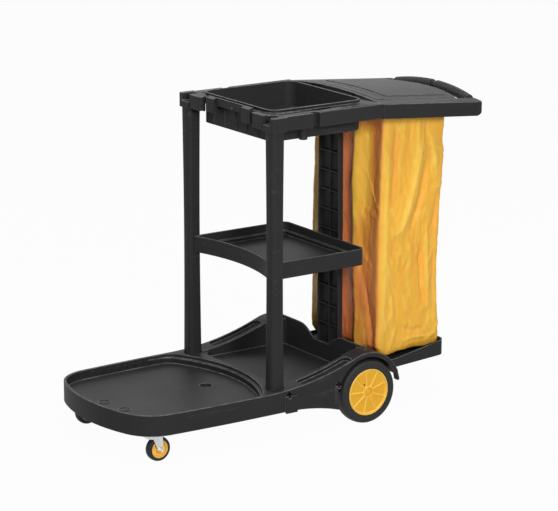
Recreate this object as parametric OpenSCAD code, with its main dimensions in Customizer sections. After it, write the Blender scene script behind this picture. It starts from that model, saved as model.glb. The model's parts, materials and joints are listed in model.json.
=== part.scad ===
// Janitor cart: a moulded base on two wheels and two swivel casters, two front posts and a ladder post,
// a middle shelf, a tray with a deep bin, and a lidded bag frame with a handle.
// The origin is on the floor under the middle of the cart: +X to the handle, +Y to its right side, +Z up.

/* [Rear wheels] */
// Diameter of the rear wheels
wheel_d = 200; // [186:1:210]
// Width of the tyres and hubs
tyre_w = 44; // [38:1:47]
// Diameter of the hubs inside the tyres
hub_d = 148; // [130:1:164]
// Width over the outer faces of the wheels
track_w = 558; // [552:1:570]
// Place of the axle along the cart
axle_x = 186; // [176:1:192]
// Diameter of the axle rod
axle_d = 12; // [10:0.5:14]
// Wall of the bushes in the hubs
bush_wall = 4; // [3:0.5:5]
// Spokes moulded on each hub
hub_spokes = 9; // [6:1:14]

/* [Casters] */
// Diameter of the caster wheels
caster_d = 75; // [66:1:80]
// Width of the caster tyres
caster_w = 24; // [20:1:28]
// Diameter of the caster hubs
caster_hub_d = 54; // [44:1:58]
// Distance from the swivel axis back to the wheel axis
caster_trail = 22; // [16:1:26]
// Distance of the swivel axes behind the base's front tip
caster_setback = 100; // [98:1:115]
// Distance of the swivel axes in from the base's front corners
caster_inset = 55; // [53:1:68]
// Diameter of the caster axle bolts
caster_bolt_d = 8; // [6:0.5:10]
// Diameter of the kingpins
kingpin_d = 10; // [8:0.5:12]
// Sheet thickness of the forks and plates
fork_t = 3; // [2:0.5:3.5]

/* [Base platform] */
// Front tip of the base
base_front_x = -655; // [-675:1:-645]
// Rear edge of the base
base_rear_x = 262; // [256:1:268]
// Radius of the bowed front edge
base_bow_r = 560; // [500:1:760]
// Half width behind the front corners
base_front_hw = 264; // [256:1:270]
// Half width from the posts to the wheels
base_rear_hw = 274; // [272:1:275]
// Radius of the front corners
base_corner_r = 120; // [100:1:124]
// Height of the skirt's lower edge
base_bottom_z = 90; // [84:1:96]
// Height of the rim
base_top_z = 155; // [150:1:162]
// Wall of the skirt
base_wall = 5; // [4:0.5:6]
// Thickness of the floors
base_floor_t = 4; // [3:0.5:5]
// Where the side walls begin to rise
rise_x = -190; // [-205:1:-175]
// Width of the rim round the front pan
pan_rim_w = 8; // [6:0.5:12]
// Height of the pan's floor
pan_floor_z = 125; // [120:1:130]
// Rear edge of the pan on the centreline
pan_rear_x = -115; // [-125:1:-113]
// Radius of the pan's rear edge
pan_rear_r = 467; // [420:1:520]
// Width of the ledge at the pan's rear edge
pan_ledge_w = 8; // [4:0.5:12]
// Drop of that ledge below the rim
pan_ledge_drop = 12; // [8:1:16]
// Diameter of the drain hole
drain_d = 38; // [30:1:46]
// Place of the drain hole
drain_x = -231; // [-250:1:-215]
// Front edge of the well
well_front_x = -105; // [-106:1:-95]
// Rear wall of the well
well_rear_x = 200; // [196:1:203]
// Half width of the well
well_hw = 212; // [205:1:213]
// Height of the well's floor
well_floor_z = 137; // [132:1:144]
// Gap between a tyre and its arch
arch_gap = 11; // [8:0.5:13]
// Thickness of the fenders
fender_t = 14; // [10:0.5:16]
// Width of the troughs in the tops of the side walls
groove_w = 43; // [34:1:45]
// Depth of those troughs
groove_deep = 12; // [8:0.5:13]

/* [Posts] */
// Place of the front posts along the cart
post_x = -132; // [-136:1:-130]
// Distance of the front posts from the centreline
post_y = 230; // [228:1:231]
// Size of a front post along the cart, at its ends
post_w = 50; // [46:1:52]
// Size of a front post across the cart, at its ends
post_d = 46; // [42:1:48]
// Share by which a front post slims to its waist
post_waist = 0.1; // [0.04:0.01:0.14]
// Wall of the front posts
post_wall = 3; // [2.5:0.5:4]
// Front face of the ladder post
ladder_x = 226; // [224:1:227]
// Depth of the ladder post
ladder_d = 18; // [15:0.5:18]
// Width of the ladder post at its foot
ladder_foot_w = 114; // [106:1:120]
// Width of the ladder post at its top
ladder_top_w = 106; // [98:1:110]
// Wall of the ladder post
ladder_wall = 5; // [4:0.5:6]
// Spacing of the ladder's rungs
rung_pitch = 62; // [50:1:80]

/* [Middle shelf] */
// Height of the shelf's rim
shelf_top_z = 540; // [480:1:600]
// Height of the shelf's rim above its lower edge
shelf_h = 52; // [44:1:60]
// Half width of the shelf
shelf_hw = 215; // [212:1:220]
// Front edge of the shelf on the centreline
shelf_front_x = -99; // [-105:1:-85]
// Radius of the hollow front edge
shelf_bow_r = 590; // [540:1:700]
// Rear edge of the shelf
shelf_rear_x = 215; // [208:1:219]
// Wall of the shelf
shelf_wall = 5; // [4:0.5:6]
// Depth of the shelf's floor below its rim
shelf_depth = 40; // [32:1:42]

/* [Top tray] */
// Height of the tray's deck
tray_top_z = 990; // [970:1:1000]
// Height of the skirt round the deck
tray_skirt_h = 44; // [40:1:50]
// Half width of the deck
tray_hw = 250; // [246:1:252]
// Front edge of the deck
tray_front_x = -140; // [-143:1:-138]
// Plane where the tray meets the bag frame
split_x = 249; // [247:1:252]
// Wall of the tray
tray_wall = 4; // [3:0.5:5]
// Front end of the bin
bin_front_x = -113; // [-114:1:-108]
// Rear end of the bin
bin_rear_x = 214; // [206:1:216]
// Half width of the bin
bin_hw = 188; // [180:1:190]
// Depth of the bin below the deck
bin_depth = 81; // [60:1:100]
// Radius of the bin's corners
bin_r = 30; // [24:1:40]
// Height of the lip round the bin
lip_h = 10; // [6:1:12]
// Width of the lip round the bin
lip_w = 6; // [4:0.5:8]
// Width of the handle slots at the front
slot_w = 24; // [18:1:26]
// Width of the handle pockets in the corner caps
pocket_w = 36; // [30:1:38]

/* [Bag frame, lid and handle] */
// Rear end of the frame's sides
frame_rear_x = 640; // [634:1:642]
// Half width of the frame
frame_hw = 245; // [240:1:249]
// Height of the frame's top edge where it meets the tray
frame_top_z = 988; // [980:1:990]
// Height of the frame's sides
frame_h = 45; // [42:0.5:52]
// Fall of the frame towards the handle, in degrees
frame_tilt = 4.8; // [3:0.1:6]
// Rise of the crown across the frame
crown_h = 15; // [10:0.5:18]
// Wall of the frame
frame_wall = 4; // [3:0.5:5]
// Half width of the lid
lid_hw = 188; // [184:1:192]
// Rear tip of the lid
lid_rear_x = 599; // [590:1:602]
// Radius of the lid's rear edge
lid_rear_r = 519; // [480:1:600]
// Thickness of the lid
lid_t = 4; // [3:0.5:5]
// Rise of the lid's panel
panel_h = 3; // [2:0.5:4]
// Place of the lid's hinge axis
hinge_x = 280; // [278:0.5:283]
// Diameter of the hinge pins
hinge_pin_d = 5; // [4:0.5:6]
// Diameter of the grips over their ribs
grip_d = 31; // [28:0.5:33]
// Diameter of the handle bar
bar_d = 22; // [18:0.5:24]
// Height of the top of the handle
handle_top_z = 987; // [978:1:992]
// Radius of the bowed handle
handle_bow_r = 845; // [800:5:1000]
// Ribs on each grip
grip_ribs = 15; // [12:1:20]

/* [Bag and its platform] */
// Half width of the bag
bag_hw = 180; // [170:1:181]
// Front of the bag at its top
bag_front_x = 304; // [303:1:310]
// Rear of the bag at its top
bag_rear_x = 545; // [535:1:546]
// Thickness of the bag's wall
bag_t = 2.5; // [2:0.5:3]
// Height of the bag's bottom
bag_bottom_z = 168; // [162:1:180]
// Rear end of the bag platform
foot_rear_x = 538; // [536:1:545]
// Half width of the bag platform
foot_hw = 205; // [195:1:210]
// Wall of the bag platform
foot_wall = 4; // [3:0.5:5]
// Height of the platform's floor
foot_floor_z = 150; // [146:1:154]

/* [Hidden] */
$fn = 64;
// Overshoot of cuts, overlap of joined masses, play of plugged joints, and of turning joints
over = 20;
bite = 1;
fit = 0.2;
play = 0.08;
// Gap between flat faces that pass each other
pass = 0.4;

// Wheels
axle_z = wheel_d / 2;
axle_r = axle_d / 2;
wheel_y = (track_w - tyre_w) / 2;
boss_r = axle_r + bush_wall + 7;
hub_lip = 5;
hub_web = 5;
hub_turn = 18;
spoke_w = 4;
spoke_h = 3;
hub_ring_h = 3.6;
cap_r = boss_r - 3;
nut_r = axle_r + 4;
nut_t = 2;
bush_r = axle_r + bush_wall;
bush_end = tyre_w / 2 - hub_lip - 8;
axle_end = wheel_y + bush_end + nut_t + 2;

// Casters, from the floor up
fork_gap = 8;
race_h = 5;
fork_top_z = caster_d + fork_gap + fork_t;
plate_z = fork_top_z + pass + race_h;
caster_seat_z = plate_z + fork_t;
caster_x = base_front_x + caster_setback;
caster_y = base_front_hw - caster_inset;
plate_r = 34;
plate_screw_r = 28;
fork_r = 21;
fork_lip = 9;
fork_in = caster_w / 2 + 1.5;
king_head_r = kingpin_d / 2 + 4;
caster_screw_d = 6;

// Base: the side walls rise on an arc that meets the fender's arc without a kink
arch_r = wheel_d / 2 + arch_gap;
fender_r = arch_r + fender_t;
house_y = wheel_y - tyre_w / 2 - 5;
rim_over_axle = base_top_z - axle_z;
rise_r = (pow(axle_x - rise_x, 2) + pow(rim_over_axle, 2) - pow(fender_r,
    2)) / (2 * (fender_r - rim_over_axle));
rise_a = atan2(rim_over_axle + rise_r, axle_x - rise_x);
tail_a = 8;
tail_root_a = 22;
tail_t = 7;
foot_drop = 40;
foot_bend_x = -110;
rear_wall_t = 6;
rear_wall_top = axle_z + fender_r + 5;
rear_wall_low = rear_wall_top - 37;
well_r = 32;
groove_front_x = rise_x + 136;
groove_rear_x = axle_x - 55;
groove_rim = 6;
groove_y = base_rear_hw - groove_rim - groove_w / 2;
groove_r = 15;
pan_fillet_r = 50;
rib_t = 3;
rib_gap = 92;
spigot_h = 24;
socket_x = [-121, 64];
socket_w = [41, 33];
socket_low = 4;
socket_h = 53;
cross_deep = 9;
pan_mark = [[79, 26], [93, -70]];
pan_mark_r = 18;
pan_mark_deep = 1.2;

// Posts
post_r = 16;
post_top_z = tray_top_z - tray_skirt_h;
post_len = post_top_z - base_top_z;
spigot_w = post_w * (1 - post_waist) - 2 * post_wall - 2 * fit;
spigot_d = post_d * (1 - post_waist) - 2 * post_wall - 2 * fit;
screw_d = 5;
screw_head_d = 10;
screw_head_h = 3;
post_screw_h = 12;
ladder_back = ladder_x + ladder_d;
ladder_top_z = post_top_z + tray_skirt_h - 15;
rung_t = 5;
lug_z = shelf_top_z - shelf_h + 8;
lug_h = 20;
collar_h = 34;

// Tray
bin_bottom_z = tray_top_z - bin_depth - tray_wall;
bin_ease_r = 18;
deck_t = 5;
cap_margin = 2;
cap_out = 6;
cap_corner_r = 8;
rail_low = 16;
rail_t = 8;
hook_y = 118;
hook_w = 42;
hook_d = 12;
finger_d = 17;
pocket_y = post_y - 7;
pocket_end_x = post_x + 14;
pocket_deep = 23;
gutter_y = bin_hw + 20;
side_notch_x = 5;
side_notch_w = 25;
side_notch_d = 25;
peg_x = -34;
peg_r = 11;
peg_h = 34;

// Bag frame and lid: the top is part of a wide cylinder that lies along the cart
crown_r = (pow(frame_hw, 2) + pow(crown_h, 2)) / (2 * crown_h);
frame_bottom_z = frame_top_z - frame_h;
lid_front_x = hinge_x - 8.5;
lid_gap = 2;
lid_step = 2.5;
seam_w = 5.5;
seam_deep = 2.5;
lid_center_x = lid_rear_x - lid_rear_r;
open_hw = lid_hw + lid_gap;
rail_r = lid_rear_r + lid_gap + 6;
finger_hw = frame_hw - 45;
seat_t = 4;
throat_wall = 3;
throat_front_x = bag_front_x - 4;
throat_rear_x = bag_rear_x + 4;
throat_hw = bag_hw + 4;
open_front_x = hinge_x - 15;
hinge_z = frame_top_z + crown_h - 14.5;
knuckle_r = hinge_pin_d / 2 + 3.5;
knuckle_y = 40;
knuckle_w = 28;
ear_t = 5;
panel_side = 32;
panel_rear = 16;
panel_front_x = hinge_x + 47;
crease_x = hinge_x + 19;
crease_w = 2.5;
crease_d = 1.2;
finger_r = 16;
bar_r = bar_d / 2;
grip_r = grip_d / 2;
rib_h = 2.4;
bow_tilt = 62;
bar_x = frame_rear_x + 15 - grip_r;
bar_z = handle_top_z - grip_r;
bar_half_len = finger_hw + 6;
grip_from = 10;
grip_to = finger_hw - 12;
frame_bolt_y = [frame_hw - 95, frame_hw - 30];
frame_bolt_drop = 20;

// Bag
peg_drop = 12;
bag_hem = 30;
bag_peg_r = 3.5;
eyelet_r = 9;
eyelet_t = 1.2;
bag_top_z = frame_top_z - 26;
bag_side_pegs = [for (i = [1:2:5]) bag_front_x + (bag_rear_x - bag_front_x) * i / 6];
bag_end_pegs = [-bag_hw / 2, bag_hw / 2];
// Rows from the bottom up: height, then how far the front, rear and sides draw in from the top
bag_rows = [
    [0, -14, 33, 30],
    [14, 8, 21, 8],
    [47, 21, 16, 1],
    [317, 20, 13, 0],
    [506, 11, 11, 0],
    [662, 6, 4, 0]
];

// Bag platform
foot_front_t = 8;
foot_r = 24;
foot_low_front = 20;
foot_low_rear = 4;
foot_rim_front = 13;
foot_rim_rear = 47;
foot_bolt_y = [-150, -60, 60, 150];
foot_bolt_d = 8;
foot_bolt_z = base_top_z - 20;

black = "#2a2a2c";
rubber = "#1d1d1f";
yellow = "#f3b61b";
cloth = "#e9a21c";
zinc = "#b4b8bc";
brass = "#c9a24a";

left = -1;
right = 1;

// Outlines

function unit(v) = v / norm(v);

function turn(a) = (a % 360 + 540) % 360 - 180;

// Points of an arc; skip leaves out its first ones where it follows another stretch
function arc(c, r, a0, a1, n, skip = 0) =
    [for (i = [skip:n]) let (a = a0 + (a1 - a0) * i / n) [c[0] + r * cos(a), c[1] + r * sin(a)]];

// One corner [x, y, radius] of an outline, between its neighbours
function corner(before, p, after, n) =
    let (
        at = [p[0], p[1]],
        u = unit([before[0], before[1]] - at),
        v = unit([after[0], after[1]] - at),
        half = acos(u * v) / 2,
        c = at + unit(u + v) * p[2] / sin(half),
        s = at + u * p[2] / tan(half) - c,
        e = at + v * p[2] / tan(half) - c,
        a0 = atan2(s[1], s[0])
    )
    p[2] == 0 ? [at] : arc(c, p[2], a0, a0 + turn(atan2(e[1], e[0]) - a0), n);

// Closed outline from corners, each with its own radius
function rounded(p, n = 8) =
    [for (i = [0:len(p) - 1]) each corner(p[(i + len(p) - 1) % len(p)], p[i], p[(i + 1) % len(p)], n)];

function rounded_box(x0, x1, y0, y1, r, n = 8) =
    rounded([[x0, y0, r], [x1, y0, r], [x1, y1, r], [x0, y1, r]], n);

// Closes a half outline that starts and ends on the centreline
function mirrored(half) = concat(half, [for (i = [len(half) - 2:-1:1]) [half[i][0], -half[i][1]]]);

// Solids from outlines

module slab(outline, z0, z1) {
    translate([0, 0, z0]) linear_extrude(z1 - z0) polygon(outline);
}

// A side view, in x and z, carried across the cart
module across(outline, y0, y1) {
    translate([0, y1, 0]) rotate([90, 0, 0]) linear_extrude(y1 - y0) polygon(outline);
}

// An end view, in y and z, carried along the cart
module along(outline, x0, x1) {
    translate([x0, 0, 0]) rotate([90, 0, 90]) linear_extrude(x1 - x0) polygon(outline);
}

module block(x0, x1, y0, y1, z0, z1) {
    translate([x0, y0, z0]) cube([x1 - x0, y1 - y0, z1 - z0]);
}

module rod_across(x, z, r, y0, y1) {
    translate([x, y1, z]) rotate([90, 0, 0]) cylinder(r = r, h = y1 - y0);
}

module rod_along(y, z, r, x0, x1) {
    translate([x0, y, z]) rotate([0, 90, 0]) cylinder(r = r, h = x1 - x0);
}

module rod_up(x, y, r, z0, z1) {
    translate([x, y, z0]) cylinder(r = r, h = z1 - z0);
}

module both_sides() {
    children();
    mirror([0, 1, 0]) children();
}

// Closed skin through rings of equal length, capped at both ends
module skin(rings) {
    n = len(rings[0]);
    m = len(rings);
    last = (m - 1) * n;
    sides = [
        for (j = [0:m - 2], i = [0:n - 1])
            let (a = j * n + i, b = j * n + (i + 1) % n)
            each [[a, a + n, b], [b, a + n, b + n]]
    ];
    bottom = [for (i = [1:n - 2]) [0, i, i + 1]];
    top = [for (i = [1:n - 2]) [last, last + i + 1, last + i]];
    polyhedron([for (ring = rings) each ring], concat(bottom, sides, top));
}

// A screw whose head sits at the origin, with its shank along -Z
module screw(d, length) {
    cylinder(d = screw_head_d, h = screw_head_h);
    translate([0, 0, -length]) cylinder(d = d, h = length + bite);
}

// Base platform

function base_half(x, front) =
    x > rise_x ? base_rear_hw
    : base_rear_hw - (base_rear_hw - base_front_hw) * pow((rise_x - x) / (rise_x - front), 2);

// The bowed front and its corner, up to where the side begins, drawn in by an inset
function bow_center() = [base_front_x + base_bow_r, 0];
function bow_corner() =
    let (r = base_bow_r - base_corner_r, hw = base_front_hw - base_corner_r)
    [bow_center()[0] - sqrt(r * r - hw * hw), hw];
function front_edge(inset) =
    let (c = bow_corner(), a = atan2(c[1], c[0] - bow_center()[0]))
    concat(arc(bow_center(), base_bow_r - inset, 180, a, 14), arc(c, base_corner_r - inset, a, 90, 10,
        1));
function side_edge(inset, x1, n = 8) =
    let (x0 = bow_corner()[0])
    [for (i = [1:n]) let (x = x0 + (x1 - x0) * i / n) [x, base_half(x, x0) - inset]];

function base_edge(inset) = mirrored(concat(
    front_edge(inset),
    side_edge(inset, rise_x),
    [[base_rear_x - inset, base_rear_hw - inset], [base_rear_x - inset, 0]]
));

// The pan ends in an arc that bulges to the rear, with rounded corners
function pan_edge(ledge) =
    let (
        inset = pan_rim_w,
        c = [pan_rear_x - pan_rear_r, 0],
        r = pan_rear_r - ledge,
        hw = base_rear_hw - inset - 1.5 - pan_fillet_r,
        f = [c[0] + sqrt(pow(r - pan_fillet_r, 2) - hw * hw), hw],
        a = atan2(f[1], f[0] - c[0])
    )
    mirrored(concat(
        front_edge(inset),
        side_edge(inset, f[0] - pan_fillet_r),
        arc(f, pan_fillet_r, 90, a, 8),
        arc(c, r, a, 0, 14, 1)
    ));

// Side view of a side wall with its fender; the arch is cut out of it later
function side_view() = concat(
    [[axle_x, axle_z]],
    arc([foot_bend_x, base_bottom_z - side_foot_r()], side_foot_r(), side_foot_a(), 90, 8),
    [[rise_x, base_bottom_z]],
    arc([rise_x, base_top_z + rise_r], rise_r, -90, -rise_a, 12),
    arc([axle_x, axle_z], fender_r, 180 - rise_a, tail_root_a, 16, 1)
);
function side_foot_x() = axle_x - sqrt(pow(arch_r, 2) - pow(foot_drop, 2)) + 2 * bite;
function side_foot_r() =
    let (dx = side_foot_x() - foot_bend_x, dz = base_bottom_z - axle_z + foot_drop)
        (dx * dx + dz * dz) / (2 * dz);
function side_foot_a() = acos((side_foot_x() - foot_bend_x) / side_foot_r());

// Top of the well's rear wall, low behind the ladder post
function rear_wall_view() =
    let (
        y0 = ladder_foot_w / 2 - 18,
        y1 = y0 + 78,
        curve = [for (i = [0:10]) [y0 + (y1 - y0) * i / 10,
            rear_wall_low + (rear_wall_top - rear_wall_low) * sin(9 * i)]],
        half = concat([[0, rear_wall_low]], curve, [[house_y + 6, rear_wall_top], [house_y + 6,
            base_top_z]])
    )
    concat(half, [for (i = [len(half) - 1:-1:1]) [-half[i][0], half[i][1]]]);

function cross_view(x, z, arm, w) = [
    [x - w, z - arm], [x + w, z - arm], [x + w, z - w], [x + arm, z - w], [x + arm, z + w], [x + w,
        z + w],
    [x + w, z + arm], [x - w, z + arm], [x - w, z + w], [x - arm, z + w], [x - arm, z - w], [x - w,
        z - w]
];

module base_mass() {
    slab(base_edge(0), base_bottom_z, base_top_z);
    along(rear_wall_view(), well_rear_x - bite, well_rear_x + rear_wall_t);
    both_sides() {
        across(side_view(), well_hw - bite, base_rear_hw);
        block(well_rear_x - well_r - bite, well_rear_x + rear_wall_t, well_hw - well_r - bite, house_y,
            base_bottom_z, axle_z + fender_r - 3);
    }
}

module base_hollows() {
    slab(pan_edge(0), base_top_z - pan_ledge_drop, base_top_z + over);
    slab(pan_edge(pan_ledge_w), pan_floor_z, base_top_z);
    slab(rounded_box(well_front_x, well_rear_x, -well_hw, well_hw, well_r), well_floor_z,
        rear_wall_top + over);
    slab(base_edge(base_wall), base_bottom_z - 2 * over, pan_floor_z - base_floor_t);
    block(well_front_x + over, well_rear_x - over, -well_hw + over, well_hw - over,
        base_bottom_z - over, well_floor_z - base_floor_t);
    block(well_rear_x + rear_wall_t, base_rear_x - base_wall, -well_hw, well_hw, base_bottom_z - over,
        base_top_z - base_wall);
    both_sides() {
        // The side walls are hollow as far as the arches
        intersection() {
            translate([0, 0, -groove_deep - base_wall])
                across(side_view(), well_hw + base_wall, base_rear_hw - base_wall);
            block(post_x + post_w, axle_x - arch_r - 3 * base_wall, well_hw, base_rear_hw,
                base_bottom_z, axle_z + fender_r);
        }
        // Flat seats for the front posts
        slab(post_outline(1, 1), base_top_z, base_top_z + over);
    }
}

module base_ribs() {
    low = base_bottom_z + 10;
    high = pan_floor_z - base_floor_t + bite;
    intersection() {
        slab(base_edge(base_wall - bite), low, high);
        union() {
            for (y = [-2 * rib_gap:rib_gap:2 * rib_gap])
                if (y != 0)
                    block(base_front_x, base_rear_x, y - rib_t / 2, y + rib_t / 2, low - bite,
                        high + bite);
            for (x = [base_front_x + rib_gap:rib_gap:base_rear_x])
                block(x - rib_t / 2, x + rib_t / 2, -base_rear_hw, base_rear_hw, low - bite,
                    high + bite);
        }
    }
}

// Plate beside each wheel that carries the axle
module axle_wall() {
    across([
        [axle_x - 78, base_bottom_z - 8], [axle_x - 30, axle_z - 34], [axle_x + 30, axle_z - 34],
        [axle_x + 68, base_bottom_z - 8], [axle_x + 72, pan_floor_z - base_floor_t + bite],
            [axle_x - 84, pan_floor_z - base_floor_t + bite]
    ], well_hw - 4, house_y);
}

module fender_tail() {
    across(concat(
        arc([axle_x, axle_z], fender_r, tail_a, tail_root_a + 2, 4),
        arc([axle_x, axle_z], fender_r - tail_t, tail_root_a + 2, tail_a, 4)
    ), base_rear_hw - 24, base_rear_hw - 2);
}

module caster_boss() {
    rod_up(caster_x, caster_y, plate_r, caster_seat_z, pan_floor_z - base_floor_t + bite);
}

module side_sockets() {
    for (i = [0, 1])
        block(socket_x[i], socket_x[i] + socket_w[i], base_rear_hw - bite, track_w / 2,
            base_bottom_z - socket_low, base_bottom_z - socket_low + socket_h);
}

module ladder_collar() {
    difference() {
        block(well_rear_x + rear_wall_t - bite, base_rear_x - 4, -ladder_foot_w / 2 - 10,
            ladder_foot_w / 2 + 10,
            base_top_z - bite, base_top_z + collar_h);
        ladder_mass(fit);
    }
}

// Trough whose floor follows the rise of the wall
module side_trough() {
    y0 = groove_y - groove_w / 2;
    y1 = groove_y + groove_w / 2;
    difference() {
        slab(rounded_box(groove_front_x, groove_rear_x, y0, y1, groove_r),
            base_top_z - groove_deep, rear_wall_top + over);
        translate([0, 0, -groove_deep]) across(side_view(), well_hw, base_rear_hw);
    }
}

// Tube under the drain hole
module drain_collar() {
    rod_up(drain_x, 0, drain_d / 2 + base_wall, base_bottom_z + 14, pan_floor_z - base_floor_t + bite);
}

// Two rings sunk in the pan's floor
module pan_marks() {
    for (p = pan_mark) difference() {
        rod_up(base_front_x + p[0], p[1], pan_mark_r, pan_floor_z - pan_mark_deep, base_top_z);
        rod_up(base_front_x + p[0], p[1], pan_mark_r - 2, pan_floor_z - over, base_top_z + over);
    }
}

module base_platform() {
    color(black) difference() {
        union() {
            difference() {
                base_mass();
                base_hollows();
            }
            base_ribs();
            drain_collar();
            ladder_collar();
            both_sides() {
                axle_wall();
                fender_tail();
                caster_boss();
                side_sockets();
                translate([post_x, post_y, base_top_z - bite])
                    linear_extrude(spigot_h + bite) polygon(spigot_outline());
            }
        }
        rod_up(drain_x, 0, drain_d / 2, base_bottom_z, base_top_z);
        rod_across(axle_x, axle_z, axle_r + fit, -house_y - over, house_y + over);
        post_screw_holes(base_top_z + post_screw_h);
        ladder_foot_holes();
        platform_bolt_holes();
        caster_screw_holes();
        both_sides() {
            // Wheel arch
            rod_across(axle_x, axle_z, arch_r, house_y, track_w / 2 + over);
            side_trough();
            for (i = [0, 1])
                across(cross_view(socket_x[i] + socket_w[i] / 3,
                    base_bottom_z - socket_low + socket_h + 4, 10, 3),
                    base_rear_hw - cross_deep, track_w / 2 + over);
        }
        pan_marks();
    }
}

// Front posts

function post_slim(z) = 1 - post_waist * sin(180 * (z - base_top_z) / post_len);

// Outline of a right-hand post at a share of its end size, grown by a margin
function post_outline(k, grow, n = 6) =
    rounded_box(post_x - post_w / 2 * k - grow, post_x + post_w / 2 * k + grow,
        post_y - post_d / 2 * k - grow, post_y + post_d / 2 * k + grow, post_r * k, n);

function spigot_outline() = rounded_box(-spigot_w / 2, spigot_w / 2, -spigot_d / 2, spigot_d / 2,
    post_r - post_wall - 4, 6);

module front_post(side) {
    levels = 12;
    bore_w = spigot_w / 2 + fit;
    bore_d = spigot_d / 2 + fit;
    color(black) difference() {
        mirror([0, side == left ? 1 : 0, 0]) skin([
            for (i = [0:levels])
                let (z = base_top_z + post_len * i / levels)
                [for (p = post_outline(post_slim(z), 0)) [p[0], p[1], z]]
        ]);
        translate([0, side * post_y, 0])
            slab(rounded_box(post_x - bore_w, post_x + bore_w, -bore_d, bore_d,
                post_r - post_wall - 4 + fit, 6),
                base_top_z - over, post_top_z + over);
        post_screw_holes(base_top_z + post_screw_h);
        post_screw_holes(post_top_z - post_screw_h);
        shelf_front_holes();
    }
}

// Screws that pin the posts to their spigots, from behind
module post_screw_holes(z) {
    both_sides() rod_along(post_y, z, screw_d / 2 + fit, post_x + spigot_w / 2 - 8,
        post_x + post_w / 2 + over);
}

module post_screws() {
    color(zinc) for (z = [base_top_z + post_screw_h, post_top_z - post_screw_h])
        both_sides() translate([post_x + post_w / 2 * post_slim(z) + fit, post_y, z]) rotate([0, 90, 0])
            screw(screw_d, post_wall + 6);
}

// Ladder post

function ladder_view(inset) =
    let (f = ladder_foot_w / 2 - inset, t = ladder_top_w / 2 - inset)
    [[-f, base_top_z], [f, base_top_z], [t, ladder_top_z], [-t, ladder_top_z]];

module ladder_mass(grow) {
    along(ladder_view(-grow), ladder_x - grow, ladder_back + grow);
}

module rear_post() {
    inner = ladder_x + ladder_d - ladder_wall;
    first = lug_z - rung_t - rung_pitch * floor((lug_z - rung_t - base_top_z - collar_h) / rung_pitch);
    color(black) difference() {
        union() {
            difference() {
                ladder_mass(0);
                intersection() {
                    along(ladder_view(ladder_wall), ladder_x - over, inner);
                    block(ladder_x - over, inner, -ladder_foot_w, ladder_foot_w,
                        base_top_z + ladder_wall, ladder_top_z - ladder_wall);
                }
            }
            intersection() {
                along(ladder_view(ladder_wall - bite), ladder_x + 2, inner + bite);
                union() {
                    block(ladder_x + ladder_wall, inner + bite, -rung_t / 2, rung_t / 2, base_top_z,
                        ladder_top_z);
                    for (z = [first:rung_pitch:ladder_top_z - rung_pitch / 2])
                        block(ladder_x + 2, inner + bite, -ladder_foot_w, ladder_foot_w, z, z + rung_t);
                }
            }
        }
        ladder_foot_holes();
        ladder_top_holes();
        shelf_rear_holes();
    }
}

function ladder_screw_y() = ladder_top_w / 4;

module ladder_foot_holes() {
    for (y = [-ladder_screw_y(), ladder_screw_y()])
        rod_along(y, base_top_z + collar_h / 2, screw_d / 2 + fit, ladder_back - ladder_wall - bite,
            base_rear_x + over);
}

module ladder_top_holes() {
    both_sides() rod_across(ladder_x + ladder_d / 2, ladder_top_z - 16, screw_d / 2 + fit,
        ladder_top_w / 2 - ladder_wall - 4, ladder_top_w / 2 + over);
}

module rear_post_screws() {
    color(zinc) {
        for (y = [-ladder_screw_y(), ladder_screw_y()])
            translate([base_rear_x - 4, y, base_top_z + collar_h / 2]) rotate([0, 90, 0])
                screw(screw_d, base_rear_x - 4 - ladder_back + ladder_wall);
        both_sides() translate([ladder_x + ladder_d / 2, ladder_top_w / 2 + guide_gap() + tray_wall,
            ladder_top_z - 16])
            rotate([-90, 0, 0]) screw(screw_d, tray_wall + guide_gap() + ladder_wall);
    }
}

// Middle shelf

function shelf_edge(inset) =
    let (
        r = shelf_bow_r + inset,
        hw = shelf_hw - inset,
        c = [shelf_front_x - shelf_bow_r, 0],
        rear = shelf_rear_x - inset,
        rc = max(24 - inset, 8)
    )
    mirrored(concat(
        arc(c, r, 0, asin(hw / r), 12),
        arc([rear - rc, hw - rc], rc, 90, 0, 8),
        [[rear, 0]]
    ));

module shelf_post_gap(grow, z0, z1) {
    both_sides() slab(post_outline(post_slim(shelf_top_z), grow), z0, z1);
}

module middle_shelf() {
    low = shelf_top_z - shelf_h;
    floor_z = shelf_top_z - shelf_depth;
    step_z = floor_z + 12;
    color(black) difference() {
        union() {
            difference() {
                slab(shelf_edge(0), low, shelf_top_z);
                slab(shelf_edge(shelf_wall), step_z, shelf_top_z + over);
                slab(shelf_edge(shelf_wall + 8), floor_z, shelf_top_z);
                slab(shelf_edge(shelf_wall), low - over, floor_z - base_floor_t);
            }
            intersection() {
                slab(shelf_edge(0), low, shelf_top_z);
                shelf_post_gap(shelf_wall, low - over, shelf_top_z + over);
            }
            intersection() {
                slab(shelf_edge(bite), low + 2, floor_z - bite);
                for (x = [shelf_front_x + 60:70:shelf_rear_x])
                    block(x, x + rib_t, -shelf_hw, shelf_hw, low, floor_z);
            }
            both_sides() block(shelf_rear_x - bite, ladder_back - ladder_wall - 1, 10, 38, lug_z,
                lug_z + lug_h);
        }
        shelf_post_gap(fit * 2, low - over, shelf_top_z + over);
        shelf_front_holes();
        shelf_rear_holes();
    }
}

function shelf_screw_z() = shelf_top_z - 14;

module shelf_front_holes() {
    both_sides() rod_across(post_x + 8, shelf_screw_z(), screw_d / 2 + fit, post_y - post_d / 2 - 10,
        post_y - post_d / 2 + 12);
}

module shelf_rear_holes() {
    both_sides() rod_along(24, lug_z + lug_h / 2, screw_d / 2 + fit, ladder_back - ladder_wall - 14,
        ladder_back + over);
}

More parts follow.
